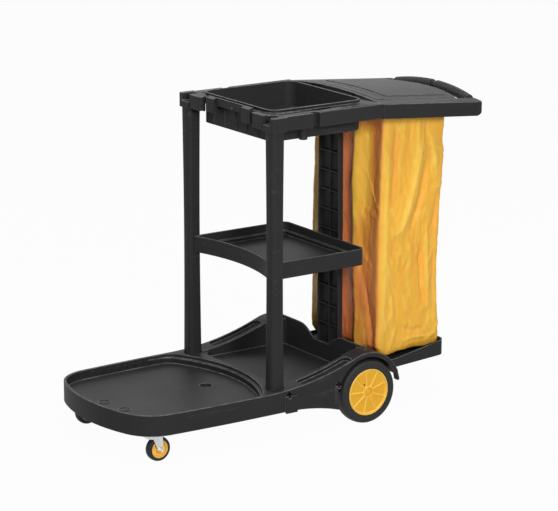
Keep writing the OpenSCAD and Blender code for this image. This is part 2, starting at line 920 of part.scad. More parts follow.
module shelf_screws() {
    inner = post_y - post_d / 2 * post_slim(shelf_top_z) - 2 * fit - shelf_wall;
    color(zinc) {
        both_sides() translate([post_x + 8, inner + 2 * fit, shelf_screw_z()]) rotate([90, 0, 0])
            screw(screw_d, shelf_wall + post_wall + 1);
        both_sides() translate([ladder_back, 24, lug_z + lug_h / 2]) rotate([0, 90, 0])
            screw(screw_d, ladder_wall + 10);
    }
}

// Top tray

function guide_gap() = 0.3;

function bin_outline(grow) =
    rounded_box(bin_front_x - grow, bin_rear_x + grow, -bin_hw - grow, bin_hw + grow, bin_r + grow, 10);

// Side view of the bin with its lower rear corner eased, without or with the wall
function bin_side(wall) =
    let (z = bin_bottom_z + tray_wall - wall, x = bin_rear_x + wall, r = bin_ease_r + wall)
    concat([[bin_front_x - over, z - over], [x - r, z - over]],
        arc([x - r, z + r], r, -90, 0, 6),
        [[x + over, z + r], [x + over, tray_top_z + 3 * over], [bin_front_x - over, tray_top_z + 3 * over]]);

function deck_outline(inset) =
    rounded_box(tray_front_x + inset, split_x - inset, -tray_hw + inset, tray_hw - inset, 6 - inset / 2);

module corner_caps() {
    x = post_w / 2 + cap_margin;
    y = post_d / 2 + cap_margin;
    both_sides() slab(rounded([
        [post_x - x, post_y - y, 4], [post_x + x, post_y - y, 4], [post_x + x,
            post_y + y + cap_out - cap_margin, 4], [post_x - x, post_y + y + cap_out - cap_margin,
            cap_corner_r]
    ]), post_top_z, tray_top_z);
}

module side_notch(grow, z0, z1) {
    both_sides() {
        block(side_notch_x - side_notch_w / 2 - grow, side_notch_x + side_notch_w / 2 + grow,
            tray_hw - side_notch_d + side_notch_w / 2, tray_hw + (grow > 0 ? 0 : over), z0, z1);
        rod_up(side_notch_x, tray_hw - side_notch_d + side_notch_w / 2, side_notch_w / 2 + grow, z0, z1);
    }
}

// Rail across the front, with a hook and a broad finger on each side of its handle slots
module front_rail() {
    block(tray_front_x, tray_front_x + rail_t, -hook_y, hook_y, tray_top_z - rail_low,
        tray_top_z + lip_h - 1);
    both_sides() {
        slab(rounded_box(tray_front_x - hook_d, tray_front_x + rail_t, hook_y - hook_w, hook_y, 6),
            post_top_z + 6, tray_top_z + lip_h - 3);
        slab(rounded_box(tray_front_x - finger_d, tray_front_x + rail_t, hook_y + slot_w,
            pocket_y - pocket_w / 2 - 1, 7),
            post_top_z + 2, tray_top_z + 2);
    }
    slab(rounded_box(tray_front_x - 4, tray_front_x + tray_wall, -17, -9, 2), tray_top_z - 35,
        tray_top_z - 9);
}

// Space under the rail, the slots beside the hooks, and the pockets in the corner caps with their gutters
module front_cuts() {
    block(tray_front_x - over, bin_front_x - tray_wall - 4, -hook_y + hook_w - 1, hook_y - hook_w + 1,
        post_top_z - over, tray_top_z - rail_low);
    both_sides() {
        slab(rounded_box(tray_front_x - 2 * over, bin_front_x - lip_w - 3, hook_y, hook_y + slot_w, 5),
            post_top_z - over, tray_top_z + lip_h + over);
        slab(rounded_box(post_x - 3 * over, pocket_end_x, pocket_y - pocket_w / 2,
            pocket_y + pocket_w / 2, 14),
            tray_top_z - pocket_deep, tray_top_z + over);
        slab(rounded_box(pocket_end_x + 10, pocket_end_x + 90, gutter_y - 7, gutter_y + 7, 6),
            tray_top_z - deck_t - bite, tray_top_z + over);
    }
}

// Hanging pegs under the rim, with a wider foot
module tray_pegs() {
    both_sides() translate([peg_x, tray_hw - 15, post_top_z - peg_h]) rotate_extrude() polygon([
        [0, 0], [peg_r + 2, 0], [peg_r + 2, 6], [peg_r, 10], [peg_r,
            peg_h + tray_skirt_h - deck_t + bite],
        [0, peg_h + tray_skirt_h - deck_t + bite]
    ]);
}

// Ribs down the front of the bin
module bin_ribs() {
    for (y = [-120:60:120])
        block(bin_front_x - tray_wall - 3, bin_front_x, y - 2, y + 2, bin_bottom_z + 6,
            tray_top_z - deck_t + bite);
}

// Ribs inside the deck that steady the top of the ladder post
module ladder_guides() {
    both_sides() block(bin_rear_x + 1, split_x - 1, ladder_top_w / 2 + guide_gap(),
        ladder_top_w / 2 + guide_gap() + tray_wall,
        post_top_z, tray_top_z - deck_t + bite);
}

module top_tray() {
    color(black) difference() {
        union() {
            difference() {
                slab(deck_outline(0), post_top_z, tray_top_z);
                slab(deck_outline(tray_wall), post_top_z - over, tray_top_z - deck_t);
            }
            corner_caps();
            intersection() {
                slab(bin_outline(tray_wall), bin_bottom_z, tray_top_z - bite);
                across(bin_side(tray_wall), -bin_hw - over, bin_hw + over);
            }
            slab(bin_outline(lip_w), tray_top_z - bite, tray_top_z + lip_h);
            side_notch(tray_wall, post_top_z, tray_top_z - bite);
            front_rail();
            tray_pegs();
            bin_ribs();
            ladder_guides();
            both_sides() translate([post_x, post_y, post_top_z - spigot_h])
                linear_extrude(spigot_h + bite) polygon(spigot_outline());
        }
        intersection() {
            slab(bin_outline(0), bin_bottom_z + tray_wall, tray_top_z + lip_h + over);
            across(bin_side(0), -bin_hw - over, bin_hw + over);
        }
        front_cuts();
        side_notch(0, post_top_z - over, tray_top_z + over);
        both_sides() {
            // Square hole, long recess and round hole in the side rims
            slab(rounded_box(-54, -44, tray_hw - 22, tray_hw - 12, 2), tray_top_z - deck_t - bite,
                tray_top_z + over);
            slab(rounded_box(38, 118, tray_hw - 30, tray_hw - 16, 6), tray_top_z - 2.5,
                tray_top_z + over);
            rod_up(136, tray_hw - 23, 4, tray_top_z - deck_t - bite, tray_top_z + over);
        }
        post_screw_holes(post_top_z - post_screw_h);
        ladder_top_holes();
        frame_bolt_holes();
    }
}

// Bag frame

module crown(drop) {
    translate([split_x, 0, frame_top_z + crown_h]) rotate([0, 90 + frame_tilt, 0])
        translate([crown_r + drop, 0, -over]) cylinder(r = crown_r,
            h = frame_rear_x - split_x + 4 * over, $fn = 360);
}

function fall(x) = (x - split_x) * tan(frame_tilt);

function frame_plan(inset) = rounded([
    [split_x, -frame_hw + inset, 0], [frame_rear_x - inset, -frame_hw + inset, 22 - inset],
    [frame_rear_x - inset, frame_hw - inset, 22 - inset], [split_x, frame_hw - inset, 0]
]);

function frame_side() = rounded([
    [split_x - bite, frame_bottom_z, 0], [frame_rear_x + bite, frame_bottom_z - fall(frame_rear_x), 22],
    [frame_rear_x + bite, frame_top_z + 2 * over, 0], [split_x - bite, frame_top_z + 2 * over, 0]
]);

// The part of a plan outline under the crowned top and above the sloping lower edge
module frame_mass(outline, drop) {
    intersection() {
        slab(outline, frame_bottom_z - 3 * over, frame_top_z + 2 * over);
        across(frame_side(), -frame_hw - over, frame_hw + over);
        crown(drop);
    }
}

// Plan of the lid's opening, or of the lid itself, with a curved rear edge
function lid_plan(x0, hw, r) =
    let (a = asin(hw / r)) mirrored(concat([[x0, 0], [x0, hw]], arc([lid_center_x, 0], r, a, 0, 12)));

module finger_gap() {
    difference() {
        block(lid_center_x + rail_r - 80, frame_rear_x + over, -finger_hw, finger_hw,
            frame_bottom_z - 3 * over, frame_top_z + over);
        rod_up(lid_center_x, 0, rail_r, frame_bottom_z - 4 * over, frame_top_z + 2 * over);
    }
}

function throat_plan(grow) =
    rounded_box(throat_front_x - grow, throat_rear_x + grow, -throat_hw - grow, throat_hw + grow,
        14 + grow);

// Brackets in front of the throat that hold the hinge pins
module hinge_ears() {
    both_sides() for (y = [knuckle_y - ear_t - pass, knuckle_y + knuckle_w + pass]) {
        rod_across(hinge_x, hinge_z, knuckle_r, y, y + ear_t);
        block(hinge_x - knuckle_r, throat_front_x - bite, y, y + ear_t, hinge_z - 24, hinge_z);
    }
}

// Pegs inside the throat that the bag's eyelets hang on
module bag_pegs(r, reach, root) {
    for (x = bag_side_pegs)
        both_sides() rod_across(x, bag_top_z - peg_drop - fall(x) + fall(bag_front_x), r,
            throat_hw - reach, throat_hw + root);
    for (y = bag_end_pegs) {
        rod_along(y, bag_top_z - peg_drop, r, throat_front_x - root, throat_front_x + reach);
        rod_along(y, bag_top_z - peg_drop - fall(bag_rear_x) + fall(bag_front_x), r,
            throat_rear_x - reach, throat_rear_x + root);
    }
}

module handle_bar(r, half_len) {
    a = asin(half_len / handle_bow_r);
    bowed() rotate([0, 0, -a]) rotate_extrude(angle = 2 * a) translate([handle_bow_r, 0]) circle(r);
}

// Puts the handle's bow in its sloping plane
module bowed() {
    translate([bar_x, 0, bar_z]) rotate([0, -bow_tilt, 0]) translate([-handle_bow_r, 0, 0]) children();
}

// Skirted shell with a crowned top, closed beside the finger gap and along the rail
module frame_shell() {
    difference() {
        frame_mass(frame_plan(0), 0);
        intersection() {
            slab(frame_plan(frame_wall), frame_bottom_z - 4 * over, frame_top_z + over);
            block(split_x + frame_wall, frame_rear_x, -frame_hw, frame_hw, frame_bottom_z - 4 * over,
                frame_top_z + over);
            crown(frame_wall);
        }
    }
    both_sides() frame_mass(rounded_box(frame_rear_x - 90, frame_rear_x - bite,
        finger_hw - frame_wall, frame_hw - 2, 6), 1);
    frame_mass(rail_plan(), 1);
}

// Plate that carries the lid round the throat, and the throat's walls
module lid_seat() {
    difference() {
        frame_mass(lid_plan(throat_front_x - throat_wall, open_hw + seat_t,
            lid_rear_r + lid_gap + seat_t), bite);
        crown(lid_t + pass + seat_t);
    }
    frame_mass(throat_plan(throat_wall), lid_t + bite);
}

module bag_frame() {
    color(black) difference() {
        union() {
            difference() {
                union() {
                    frame_shell();
                    lid_seat();
                }
                finger_gap();
                slab(throat_plan(0), frame_bottom_z - 4 * over, frame_top_z + 2 * over);
                intersection() {
                    slab(lid_plan(open_front_x, open_hw, lid_rear_r + lid_gap), frame_bottom_z,
                        frame_top_z + 2 * over);
                    above(lid_t + pass);
                }
                // Step beside the lid
                intersection() {
                    slab(lid_plan(open_front_x + 3, open_hw + seat_t - bite, lid_rear_r + lid_gap - 1),
                        frame_bottom_z, frame_top_z + 2 * over);
                    above(lid_step);
                }
            }
            hinge_ears();
            bag_pegs(bag_peg_r, 12, throat_wall / 2);
            handle_bar(bar_r, bar_half_len);
        }
        both_sides() rod_across(hinge_x, hinge_z, hinge_pin_d / 2 + fit / 2, knuckle_y - 2 * ear_t,
            knuckle_y + knuckle_w + 2 * ear_t);
        frame_bolt_holes();
        // Seam where the sides meet the tray
        both_sides() block(split_x - over, split_x + seam_w, frame_hw - seam_deep, frame_hw + over,
            frame_bottom_z - over, frame_top_z + over);
    }
}

// Band that closes the back of the rail
function rail_plan() =
    let (a = asin((finger_hw + 2) / rail_r))
    concat(arc([lid_center_x, 0], rail_r + bite, -a, a, 14), arc([lid_center_x, 0],
        rail_r - frame_wall, a, -a, 14));

// Everything above the crowned top, lowered by a drop
module above(drop) {
    difference() {
        block(split_x - over, frame_rear_x + over, -frame_hw, frame_hw, frame_bottom_z - over,
            frame_top_z + 3 * over);
        crown(drop);
    }
}

module frame_bolt_holes() {
    both_sides() for (y = frame_bolt_y)
        rod_along(y, frame_top_z - frame_bolt_drop, screw_d / 2 + fit, split_x - tray_wall - 6,
            split_x + frame_wall + over);
}

module frame_bolts() {
    color(zinc) both_sides() for (y = frame_bolt_y)
        translate([split_x + frame_wall, y, frame_top_z - frame_bolt_drop]) rotate([0, 90, 0])
            screw(screw_d, frame_wall + tray_wall + 4);
}

module grip(side) {
    from = asin(grip_from / handle_bow_r);
    to = asin(grip_to / handle_bow_r);
    pitch = (to - from) / grip_ribs;
    color(rubber) difference() {
        bowed() {
            rotate([0, 0, side == left ? -to : from]) rotate_extrude(angle = to - from)
                translate([handle_bow_r, 0]) circle(grip_r - rib_h);
            for (i = [0:grip_ribs - 1])
                rotate([0, 0, side * (from + pitch * (i + 0.5))]) translate([handle_bow_r, 0,
                    0]) rotate([90, 0, 0])
                    cylinder(r = grip_r, h = handle_bow_r * sin(pitch) * 0.55, center = true);
        }
        handle_bar(bar_r + fit, bar_half_len);
    }
}

// Lid

module lid() {
    color(black) difference() {
        union() {
            difference() {
                lid_mass(lid_plan(lid_front_x, lid_hw, lid_rear_r), 0);
                translate([0, 0, -lid_t]) crown(0);
            }
            difference() {
                lid_mass(panel_plan(), -panel_h);
                translate([0, 0, -bite]) crown(0);
            }
            both_sides() {
                rod_across(hinge_x, hinge_z, knuckle_r, knuckle_y, knuckle_y + knuckle_w);
                intersection() {
                    block(hinge_x - 4, hinge_x + 6, knuckle_y, knuckle_y + knuckle_w, hinge_z,
                        frame_top_z + 2 * over);
                    crown(bite);
                }
            }
        }
        both_sides() rod_across(hinge_x, hinge_z, hinge_pin_d / 2 + play, knuckle_y - over,
            knuckle_y + knuckle_w + over);
        rod_up(lid_rear_x + 5, 0, finger_r, frame_bottom_z, frame_top_z + 2 * over);
        intersection() {
            block(crease_x, crease_x + crease_w, -lid_hw - over, lid_hw + over, frame_bottom_z,
                frame_top_z + 2 * over);
            above(crease_d);
        }
    }
}

module lid_mass(outline, drop) {
    intersection() {
        slab(outline, frame_bottom_z - over, frame_top_z + 2 * over);
        crown(drop);
    }
}

function panel_plan() = lid_plan(panel_front_x, lid_hw - panel_side, lid_rear_r - panel_rear);

module lid_pin(side) {
    y0 = knuckle_y - pass - ear_t;
    y1 = knuckle_y + knuckle_w + pass + ear_t;
    color(zinc) rod_across(hinge_x, hinge_z, hinge_pin_d / 2, side == left ? -y1 : y0,
        side == left ? -y0 : y1);
}

// Bag

function bag_ring(z, x0, x1, hw, r, lean) =
    [for (p = rounded_box(x0, x1, -hw, hw, r, 4)) [p[0], p[1], z - lean * (p[0] - bag_front_x)]];

function bag_wall(t) = concat(
    [for (row = bag_rows)
        bag_ring(bag_bottom_z + row[0] + (row[0] == 0 ? t : 0), bag_front_x - row[1] + t,
            bag_rear_x - row[2] - t,
            bag_hw - row[3] - t, 20, 0)],
    [for (z = [bag_top_z - bag_hem, bag_top_z])
        bag_ring(z, bag_front_x + t, bag_rear_x - t, bag_hw - t, 12, tan(frame_tilt))]
);

module bag() {
    inner = bag_wall(bag_t);
    color(cloth) difference() {
        skin(concat(bag_wall(0), [for (i = [len(inner) - 1:-1:0]) inner[i]]));
        bag_pegs(bag_peg_r + 2 * eyelet_t + fit, 12, 0);
    }
}

module bag_eyelets() {
    reach = throat_hw - bag_hw;
    color(brass) difference() {
        union() {
            bag_pegs(bag_peg_r + 2 * eyelet_t, reach + bag_t + eyelet_t, eyelet_t - reach);
            bag_pegs(eyelet_r, reach - fit, eyelet_t + fit - reach);
        }
        bag_pegs(bag_peg_r + fit, 3 * over, 3 * over);
    }
}

// Bag platform

function foot_side() = [
    [base_rear_x, foot_floor_z - foot_low_front], [foot_rear_x, foot_floor_z - foot_low_rear],
    [foot_rear_x, foot_floor_z + foot_rim_rear], [base_rear_x + 78, foot_floor_z + foot_rim_front],
    [base_rear_x, foot_floor_z + foot_rim_front - 4]
];

function foot_plan(inset) = rounded([
    [base_rear_x + inset, -foot_hw + inset, 4], [foot_rear_x - inset, -foot_hw + inset, foot_r - inset],
    [foot_rear_x - inset, foot_hw - inset, foot_r - inset], [base_rear_x + inset, foot_hw - inset, 4]
]);

module bag_platform() {
    color(black) difference() {
        intersection() {
            across(foot_side(), -foot_hw, foot_hw);
            slab(foot_plan(0), foot_floor_z - 2 * over, foot_floor_z + 4 * over);
        }
        intersection() {
            slab(foot_plan(foot_wall), foot_floor_z, foot_floor_z + 4 * over);
            block(base_rear_x + foot_front_t, foot_rear_x, -foot_hw, foot_hw, foot_floor_z,
                foot_floor_z + 4 * over);
        }
        platform_bolt_holes();
    }
}

module platform_bolt_holes() {
    for (y = foot_bolt_y)
        rod_along(y, foot_bolt_z, foot_bolt_d / 2 + fit, base_rear_x - base_wall - over,
            base_rear_x + foot_front_t + 2 * over);
}

module platform_bolts() {
    color(zinc) for (y = foot_bolt_y)
        translate([base_rear_x - base_wall, y, foot_bolt_z]) rotate([0, -90, 0]) screw(foot_bolt_d,
            base_wall + 24);
}

// Rear wheels: each is drawn with its axis up and its outer face on top, then turned to its side

module at_wheel(side) {
    translate([axle_x, side * wheel_y, axle_z]) rotate([-90 * side, 0, 0]) children();
}

// Section of a tyre: inner and outer radius, half width, and radius of the shoulders
function tyre_view(r0, r1, h, shoulder) = [
    [r0, -h, 0], [r1 - h / 8, -h, shoulder], [r1, -h / 3, shoulder], [r1, h / 3, shoulder],
        [r1 - h / 8, h, shoulder], [r0, h, 0]
];

module tyre(side) {
    color(rubber) at_wheel(side) rotate_extrude($fn = 96)
        polygon(rounded(tyre_view(hub_d / 2 + fit / 4, wheel_d / 2, tyre_w / 2 - 1, 8), 5));
}

module hub(side) {
    h = tyre_w / 2;
    rim = hub_d / 2;
    face = h - hub_lip;
    spoke = rim - boss_r - 4;
    pitch = 360 / hub_spokes;
    color(yellow) at_wheel(side) rotate([0, 0, hub_turn]) difference() {
        union() {
            rotate_extrude($fn = 96) polygon([
                [axle_r, -h], [boss_r, -h], [boss_r, face - hub_web], [rim - 7, face - hub_web],
                    [rim - 7, -h + 2], [rim, -h + 2],
                [rim, h - 2], [rim - 2, h], [rim - 5, h], [rim - 8, face],
                [boss_r + 1, face], [boss_r, face + hub_ring_h], [axle_r, face + hub_ring_h]
            ]);
            for (i = [0:hub_spokes - 1]) rotate([0, 0, pitch * i]) {
                translate([boss_r - bite, -spoke_w / 2, face - bite])
                    cube([spoke, spoke_w, bite + spoke_h]);
                translate([boss_r - 2 * bite, -1.5, -h + 6])
                    cube([rim - 7 - boss_r + 4 * bite, 3, tyre_w - hub_lip - hub_web - 6 + bite]);
            }
        }
        translate([0, 0, -h - over]) cylinder(r = bush_r + fit / 4, h = 2 * tyre_w);
        translate([0, 0, bush_end]) cylinder(r = cap_r, h = tyre_w);
        rotate([0, 0, 2.5 * pitch]) translate([boss_r + 10, 0, 0]) cylinder(d = 7, h = tyre_w);
    }
}

module hub_bushes(side) {
    h = tyre_w / 2;
    length = (bush_end + h) / 2 - 2;
    color(zinc) at_wheel(side) for (z = [-h, bush_end - length])
        translate([0, 0, z]) difference() {
            cylinder(r = bush_r, h = length);
            translate([0, 0, -over]) cylinder(r = axle_r + play, h = length + 2 * over);
        }
}

module hub_cap(side) {
    face = tyre_w / 2 - hub_lip;
    deep = face - bush_end;
    color(yellow) at_wheel(side) translate([0, 0, bush_end]) rotate_extrude() polygon(concat(
        [[cap_r - 2, 0], [cap_r - fit / 4, 0], [cap_r - fit / 4, deep]],
        arc([0, deep - 30], norm([cap_r - 1, 30]), atan2(30, cap_r - 1), 90, 6),
        [[0, deep - 1], [cap_r - 2, deep - 1]]
    ));
}

module rear_axle() {
    color(zinc) rod_across(axle_x, axle_z, axle_r, -axle_end, axle_end);
}

module axle_washers() {
    gap = wheel_y - tyre_w / 2 - house_y;
    color(zinc) both_sides() difference() {
        rod_across(axle_x, axle_z, axle_r + 6, house_y, house_y + gap - pass);
        rod_across(axle_x, axle_z, axle_r + fit / 4, house_y - over, house_y + gap + over);
    }
}

module axle_push_nuts() {
    y = wheel_y + bush_end + pass;
    color(zinc) both_sides() difference() {
        rod_across(axle_x, axle_z, nut_r, y, y + nut_t);
        rod_across(axle_x, axle_z, axle_r + fit / 4, y - over, y + over);
    }
}

// Casters: drawn at the swivel axis, with the wheel trailing towards the handle

module at_caster(side) {
    translate([caster_x, side * caster_y, 0]) children();
}

module caster_plate(side) {
    color(zinc) at_caster(side) difference() {
        rod_up(0, 0, plate_r, plate_z, plate_z + fork_t);
        rod_up(0, 0, kingpin_d / 2 + fit / 4, plate_z - over, plate_z + over);
        plate_screws() rod_up(0, 0, caster_screw_d / 2 + fit, plate_z - over, plate_z + over);
    }
}

module caster_kingpin(side) {
    under = fork_top_z - fork_t - pass;
    color(zinc) at_caster(side) {
        rod_up(0, 0, king_head_r, under - 3.5, under);
        rod_up(0, 0, kingpin_d / 2, under - bite, plate_z + fork_t);
    }
}

module caster_race(side) {
    color(zinc) at_caster(side) difference() {
        translate([0, 0, plate_z - race_h]) cylinder(r1 = fork_r - 3, r2 = fork_r, h = race_h);
        rod_up(0, 0, kingpin_d / 2 + fit / 4, plate_z - over, plate_z + over);
    }
}

// Side view of a fork leg: a wedge under the swivel head, upright behind and round at the wheel axis
function fork_view() =
    let (
        c = [caster_trail, caster_d / 2],
        r = caster_bolt_d / 2 + 4,
        top = fork_top_z,
        p = [-2, top - fork_lip - 4],
        lean = atan2(p[1] - c[1], p[0] - c[0]) + acos(r / norm(p - c))
    )
    concat([[-fork_r, top], [-fork_r, top - fork_lip], p], arc(c, r, lean, 360, 14), [[c[0] + r, top]]);

module caster_fork(side) {
    color(zinc) at_caster(side) difference() {
        union() {
            for (y = [-fork_in - fork_t, fork_in])
                across(fork_view(), y, y + fork_t);
            // Lip that joins the legs in front
            block(-fork_r, fork_t - fork_r, -fork_in - bite, fork_in + bite, fork_top_z - fork_lip,
                fork_top_z);
            intersection() {
                rod_up(0, 0, fork_r, fork_top_z - fork_t, fork_top_z);
                block(-fork_r, fork_r, -fork_in - fork_t, fork_in + fork_t, fork_top_z - over,
                    fork_top_z);
            }
        }
        rod_up(0, 0, kingpin_d / 2 + play, fork_top_z - over, fork_top_z + over);
        rod_across(caster_trail, caster_d / 2, caster_bolt_d / 2 + fit / 4, -caster_w - over,
            caster_w + over);
    }
}

module caster_bolt(side) {
    out = fork_in + fork_t;
    color(zinc) at_caster(side) {
        rod_across(caster_trail, caster_d / 2, caster_bolt_d / 2, -out - 6, out + bite);
        rod_across(caster_trail, caster_d / 2, caster_bolt_d / 2 + 3, out, out + 4);
    }
}

module caster_nut(side) {
    out = fork_in + fork_t;
    color(zinc) at_caster(side) difference() {
        translate([caster_trail, -out, caster_d / 2]) rotate([90, 0,
            0]) cylinder(r = caster_bolt_d / 2 + 3, h = 5, $fn = 6);
        rod_across(caster_trail, caster_d / 2, caster_bolt_d / 2 + fit / 4, -out - over, -out + over);
    }
}

module caster_tyre(side) {
    color(rubber) at_caster(side) translate([caster_trail, 0, caster_d / 2]) rotate([90, 0,
        0]) rotate_extrude($fn = 72)
        polygon(rounded(tyre_view(caster_hub_d / 2 + fit / 4, caster_d / 2, caster_w / 2, 4), 5));
}

module caster_hub(side) {
    h = caster_w / 2;
    rim = caster_hub_d / 2;
    boss = caster_bolt_d / 2 + 6;
    color(yellow) at_caster(side) translate([caster_trail, 0, caster_d / 2]) rotate([90, 0,
        0]) rotate_extrude($fn = 72) polygon([
        [caster_bolt_d / 2 + play, -h - 1], [boss, -h - 1], [boss, -4], [rim - 6, -4], [rim - 4, -h],
            [rim, -h],
        [rim, h], [rim - 4, h], [rim - 6, 4], [boss, 4], [boss, h + 1], [caster_bolt_d / 2 + play, h + 1]
    ]);
}

// The four screws of a plate
module plate_screws() {
    for (a = [45:90:315])
        translate([plate_screw_r * cos(a), plate_screw_r * sin(a), 0]) children();
}

module caster_screw_holes() {
    both_sides() at_caster(right) plate_screws()
        rod_up(0, 0, caster_screw_d / 2 + fit, caster_seat_z - over, caster_seat_z + 14);
}

module caster_screws() {
    color(zinc) both_sides() at_caster(right) plate_screws()
        translate([0, 0, plate_z]) rotate([180, 0, 0]) screw(caster_screw_d, fork_t + 12);
}

base_platform();
front_post(left);  // left_front_post
front_post(right);  // right_front_post
rear_post();
middle_shelf();
top_tray();
bag_frame();
lid();
lid_pin(left);  // left_lid_pin
lid_pin(right);  // right_lid_pin
grip(left);  // left_grip
grip(right);  // right_grip
bag();
bag_eyelets();
bag_platform();
rear_axle();
axle_washers();
axle_push_nuts();
tyre(left);  // left_tyre
hub(left);  // left_hub
hub_bushes(left);  // left_hub_bushes
hub_cap(left);  // left_hub_cap
tyre(right);  // right_tyre
hub(right);  // right_hub
hub_bushes(right);  // right_hub_bushes
hub_cap(right);  // right_hub_cap
caster_plate(left);  // left_caster_plate
caster_kingpin(left);  // left_caster_kingpin
caster_race(left);  // left_caster_race
caster_fork(left);  // left_caster_fork
caster_bolt(left);  // left_caster_bolt
caster_nut(left);  // left_caster_nut
caster_tyre(left);  // left_caster_tyre
caster_hub(left);  // left_caster_hub
caster_plate(right);  // right_caster_plate
caster_kingpin(right);  // right_caster_kingpin
caster_race(right);  // right_caster_race
caster_fork(right);  // right_caster_fork
caster_bolt(right);  // right_caster_bolt
caster_nut(right);  // right_caster_nut
caster_tyre(right);  // right_caster_tyre
caster_hub(right);  // right_caster_hub
caster_screws();
post_screws();
shelf_screws();
rear_post_screws();
frame_bolts();
platform_bolts();
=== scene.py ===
import json
import math
import random

import bpy
from mathutils import Matrix, Vector, noise
from mathutils.bvhtree import BVHTree


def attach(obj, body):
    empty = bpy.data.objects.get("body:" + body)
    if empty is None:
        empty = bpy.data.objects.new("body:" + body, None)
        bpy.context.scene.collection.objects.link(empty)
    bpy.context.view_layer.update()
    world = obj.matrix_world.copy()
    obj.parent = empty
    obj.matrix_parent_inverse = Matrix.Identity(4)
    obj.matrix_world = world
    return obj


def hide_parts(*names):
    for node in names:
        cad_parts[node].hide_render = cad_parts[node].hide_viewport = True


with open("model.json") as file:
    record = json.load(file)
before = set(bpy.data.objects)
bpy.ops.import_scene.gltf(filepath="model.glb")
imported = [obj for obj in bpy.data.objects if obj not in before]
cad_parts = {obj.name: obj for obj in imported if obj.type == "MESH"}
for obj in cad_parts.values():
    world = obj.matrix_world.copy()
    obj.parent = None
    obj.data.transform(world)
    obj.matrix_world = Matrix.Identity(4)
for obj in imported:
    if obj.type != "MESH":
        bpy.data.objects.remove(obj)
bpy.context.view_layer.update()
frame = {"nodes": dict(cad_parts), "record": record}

# Photograph
PHOTO_WIDTH = 558
FOCAL_PIXELS = 2443.01
SENSOR = 36.0
AZIMUTH = math.radians(-34.330)
ELEVATION = math.radians(14.502)
ROLL = math.radians(0.095)
CAMERA_AT = Vector((-4.0864, -6.0432, 2.3887))

# Shader arithmetic
RIDGE_ROUGHNESS = 0.55


class Wire:
    """An output of a node that takes part in Python expressions."""

    def __init__(self, finish, socket):
        self.finish = finish
        self.socket = socket

    def math(self, operation, a, b=0.0):
        return self.finish.node("Math", {"operation": operation}, {0: a, 1: b})

    def __add__(self, other):
        return self.math("ADD", self, other)

    def __radd__(self, other):
        return self.math("ADD", other, self)

    def __sub__(self, other):
        return self.math("SUBTRACT", self, other)

    def __rsub__(self, other):
        return self.math("SUBTRACT", other, self)

    def __mul__(self, other):
        return self.math("MULTIPLY", self, other)

    def __rmul__(self, other):
        return self.math("MULTIPLY", other, self)

    def __pow__(self, other):
        return self.math("POWER", self, other)

    def __abs__(self):
        return self.math("ABSOLUTE", self)

    def least(self, other):
        return self.math("MINIMUM", self, other)

    def most(self, other):
        return self.math("MAXIMUM", self, other)

    def step(self, low, high):
        """0 below low, 1 above high, smooth between."""
        settings = {"interpolation_type": "SMOOTHSTEP"}
        inputs = {"Value": self, "From Min": low, "From Max": high}
        return self.finish.node("MapRange", settings, inputs)


class Finish:
    """The nodes of a material or a world, and the one way to add to them."""

    def __init__(self, owner):
        owner.use_nodes = True
        self.owner = owner
        self.tree = owner.node_tree
        self.tree.nodes.clear()

    def node(self, kind, settings=None, inputs=None, out=0):
        made = self.tree.nodes.new("ShaderNode" + kind)
        for key, value in (settings or {}).items():
            setattr(made, key, value)
        for key, value in (inputs or {}).items():
            if isinstance(value, Wire):
                self.tree.links.new(value.socket, made.inputs[key])
            else:
                made.inputs[key].default_value = value
        return Wire(self, made.outputs[out]) if made.outputs else None

    def place(self, scale=(1, 1, 1), turn=(0, 0, 0)):
        at = self.node("TexCoord", out="Object")
        return self.node("Mapping", {}, {"Vector": at, "Scale": scale, "Rotation": turn})

    def cloud(self, scale, detail=3.0, rough=0.5, stretch=(1, 1, 1)):
        inputs = {"Vector": self.place(stretch), "Scale": scale, "Detail": detail, "Roughness": rough}
        return self.node("TexNoise", {}, inputs)

    def ridge(self, scale, detail, stretch=(1, 1, 1), turn=(0, 0, 0)):
        """Noise folded at its middle into sharp ridges."""
        at = self.place(stretch, turn)
        inputs = {"Vector": at, "Scale": scale, "Detail": detail, "Roughness": RIDGE_ROUGHNESS}
        return 1 - 2 * abs(self.node("TexNoise", {}, inputs) - 0.5)

    def mark(self, name):
        """A value that the mesh carries on its faces or points."""
        return self.node("Attribute", {"attribute_name": name}, out="Fac")

    def blend(self, share, a, b):
        inputs = {0: share, 6: a, 7: b}
        return self.node("Mix", {"data_type": "RGBA"}, inputs, out=2)

    def bump(self, height, distance, strength=1.0):
        return self.node("Bump", {}, {"Height": height, "Distance": distance, "Strength": strength})

    def surface(self, **sockets):
        inputs = {key.replace("_", " "): value for key, value in sockets.items()}
        shader = self.node("BsdfPrincipled", {}, inputs)
        self.node("OutputMaterial", {}, {"Surface": shader})
        return self.owner


def rgb(red, green, blue):
    return (red, green, blue, 1.0)


# Tones and measures of the finishes
# Painted shade: colour that recesses of the black moulding are darkened towards
RECESS_SHADE_BLACK = rgb(0.0030, 0.0030, 0.0031)
DUST = rgb(0.06, 0.058, 0.055)
# Painted highlight colour for the rounded edges of the yellow hubs
EDGE_HIGHLIGHT_YELLOW = rgb(1.0, 0.70, 0.16)
# Painted highlight colour for the crests and crinkle lines of the bag
HIGHLIGHT_YELLOW = rgb(1.0, 0.645, 0.090)
MARK_ORANGE = rgb(0.90, 0.38, 0.030)
# Painted shade colour for the front and the dips of the folds of the bag
SHADE_ORANGE = rgb(0.98, 0.270, 0.085)
BUMP_PLASTIC, BUMP_RUBBER, BUMP_HUB, BUMP_CLOTH, BUMP_ZINC = 0.0004, 0.0005, 0.0003, 0.0030, 0.0003
WEAVE_SCALE = 330.0
SPANGLE_SCALE = 240.0


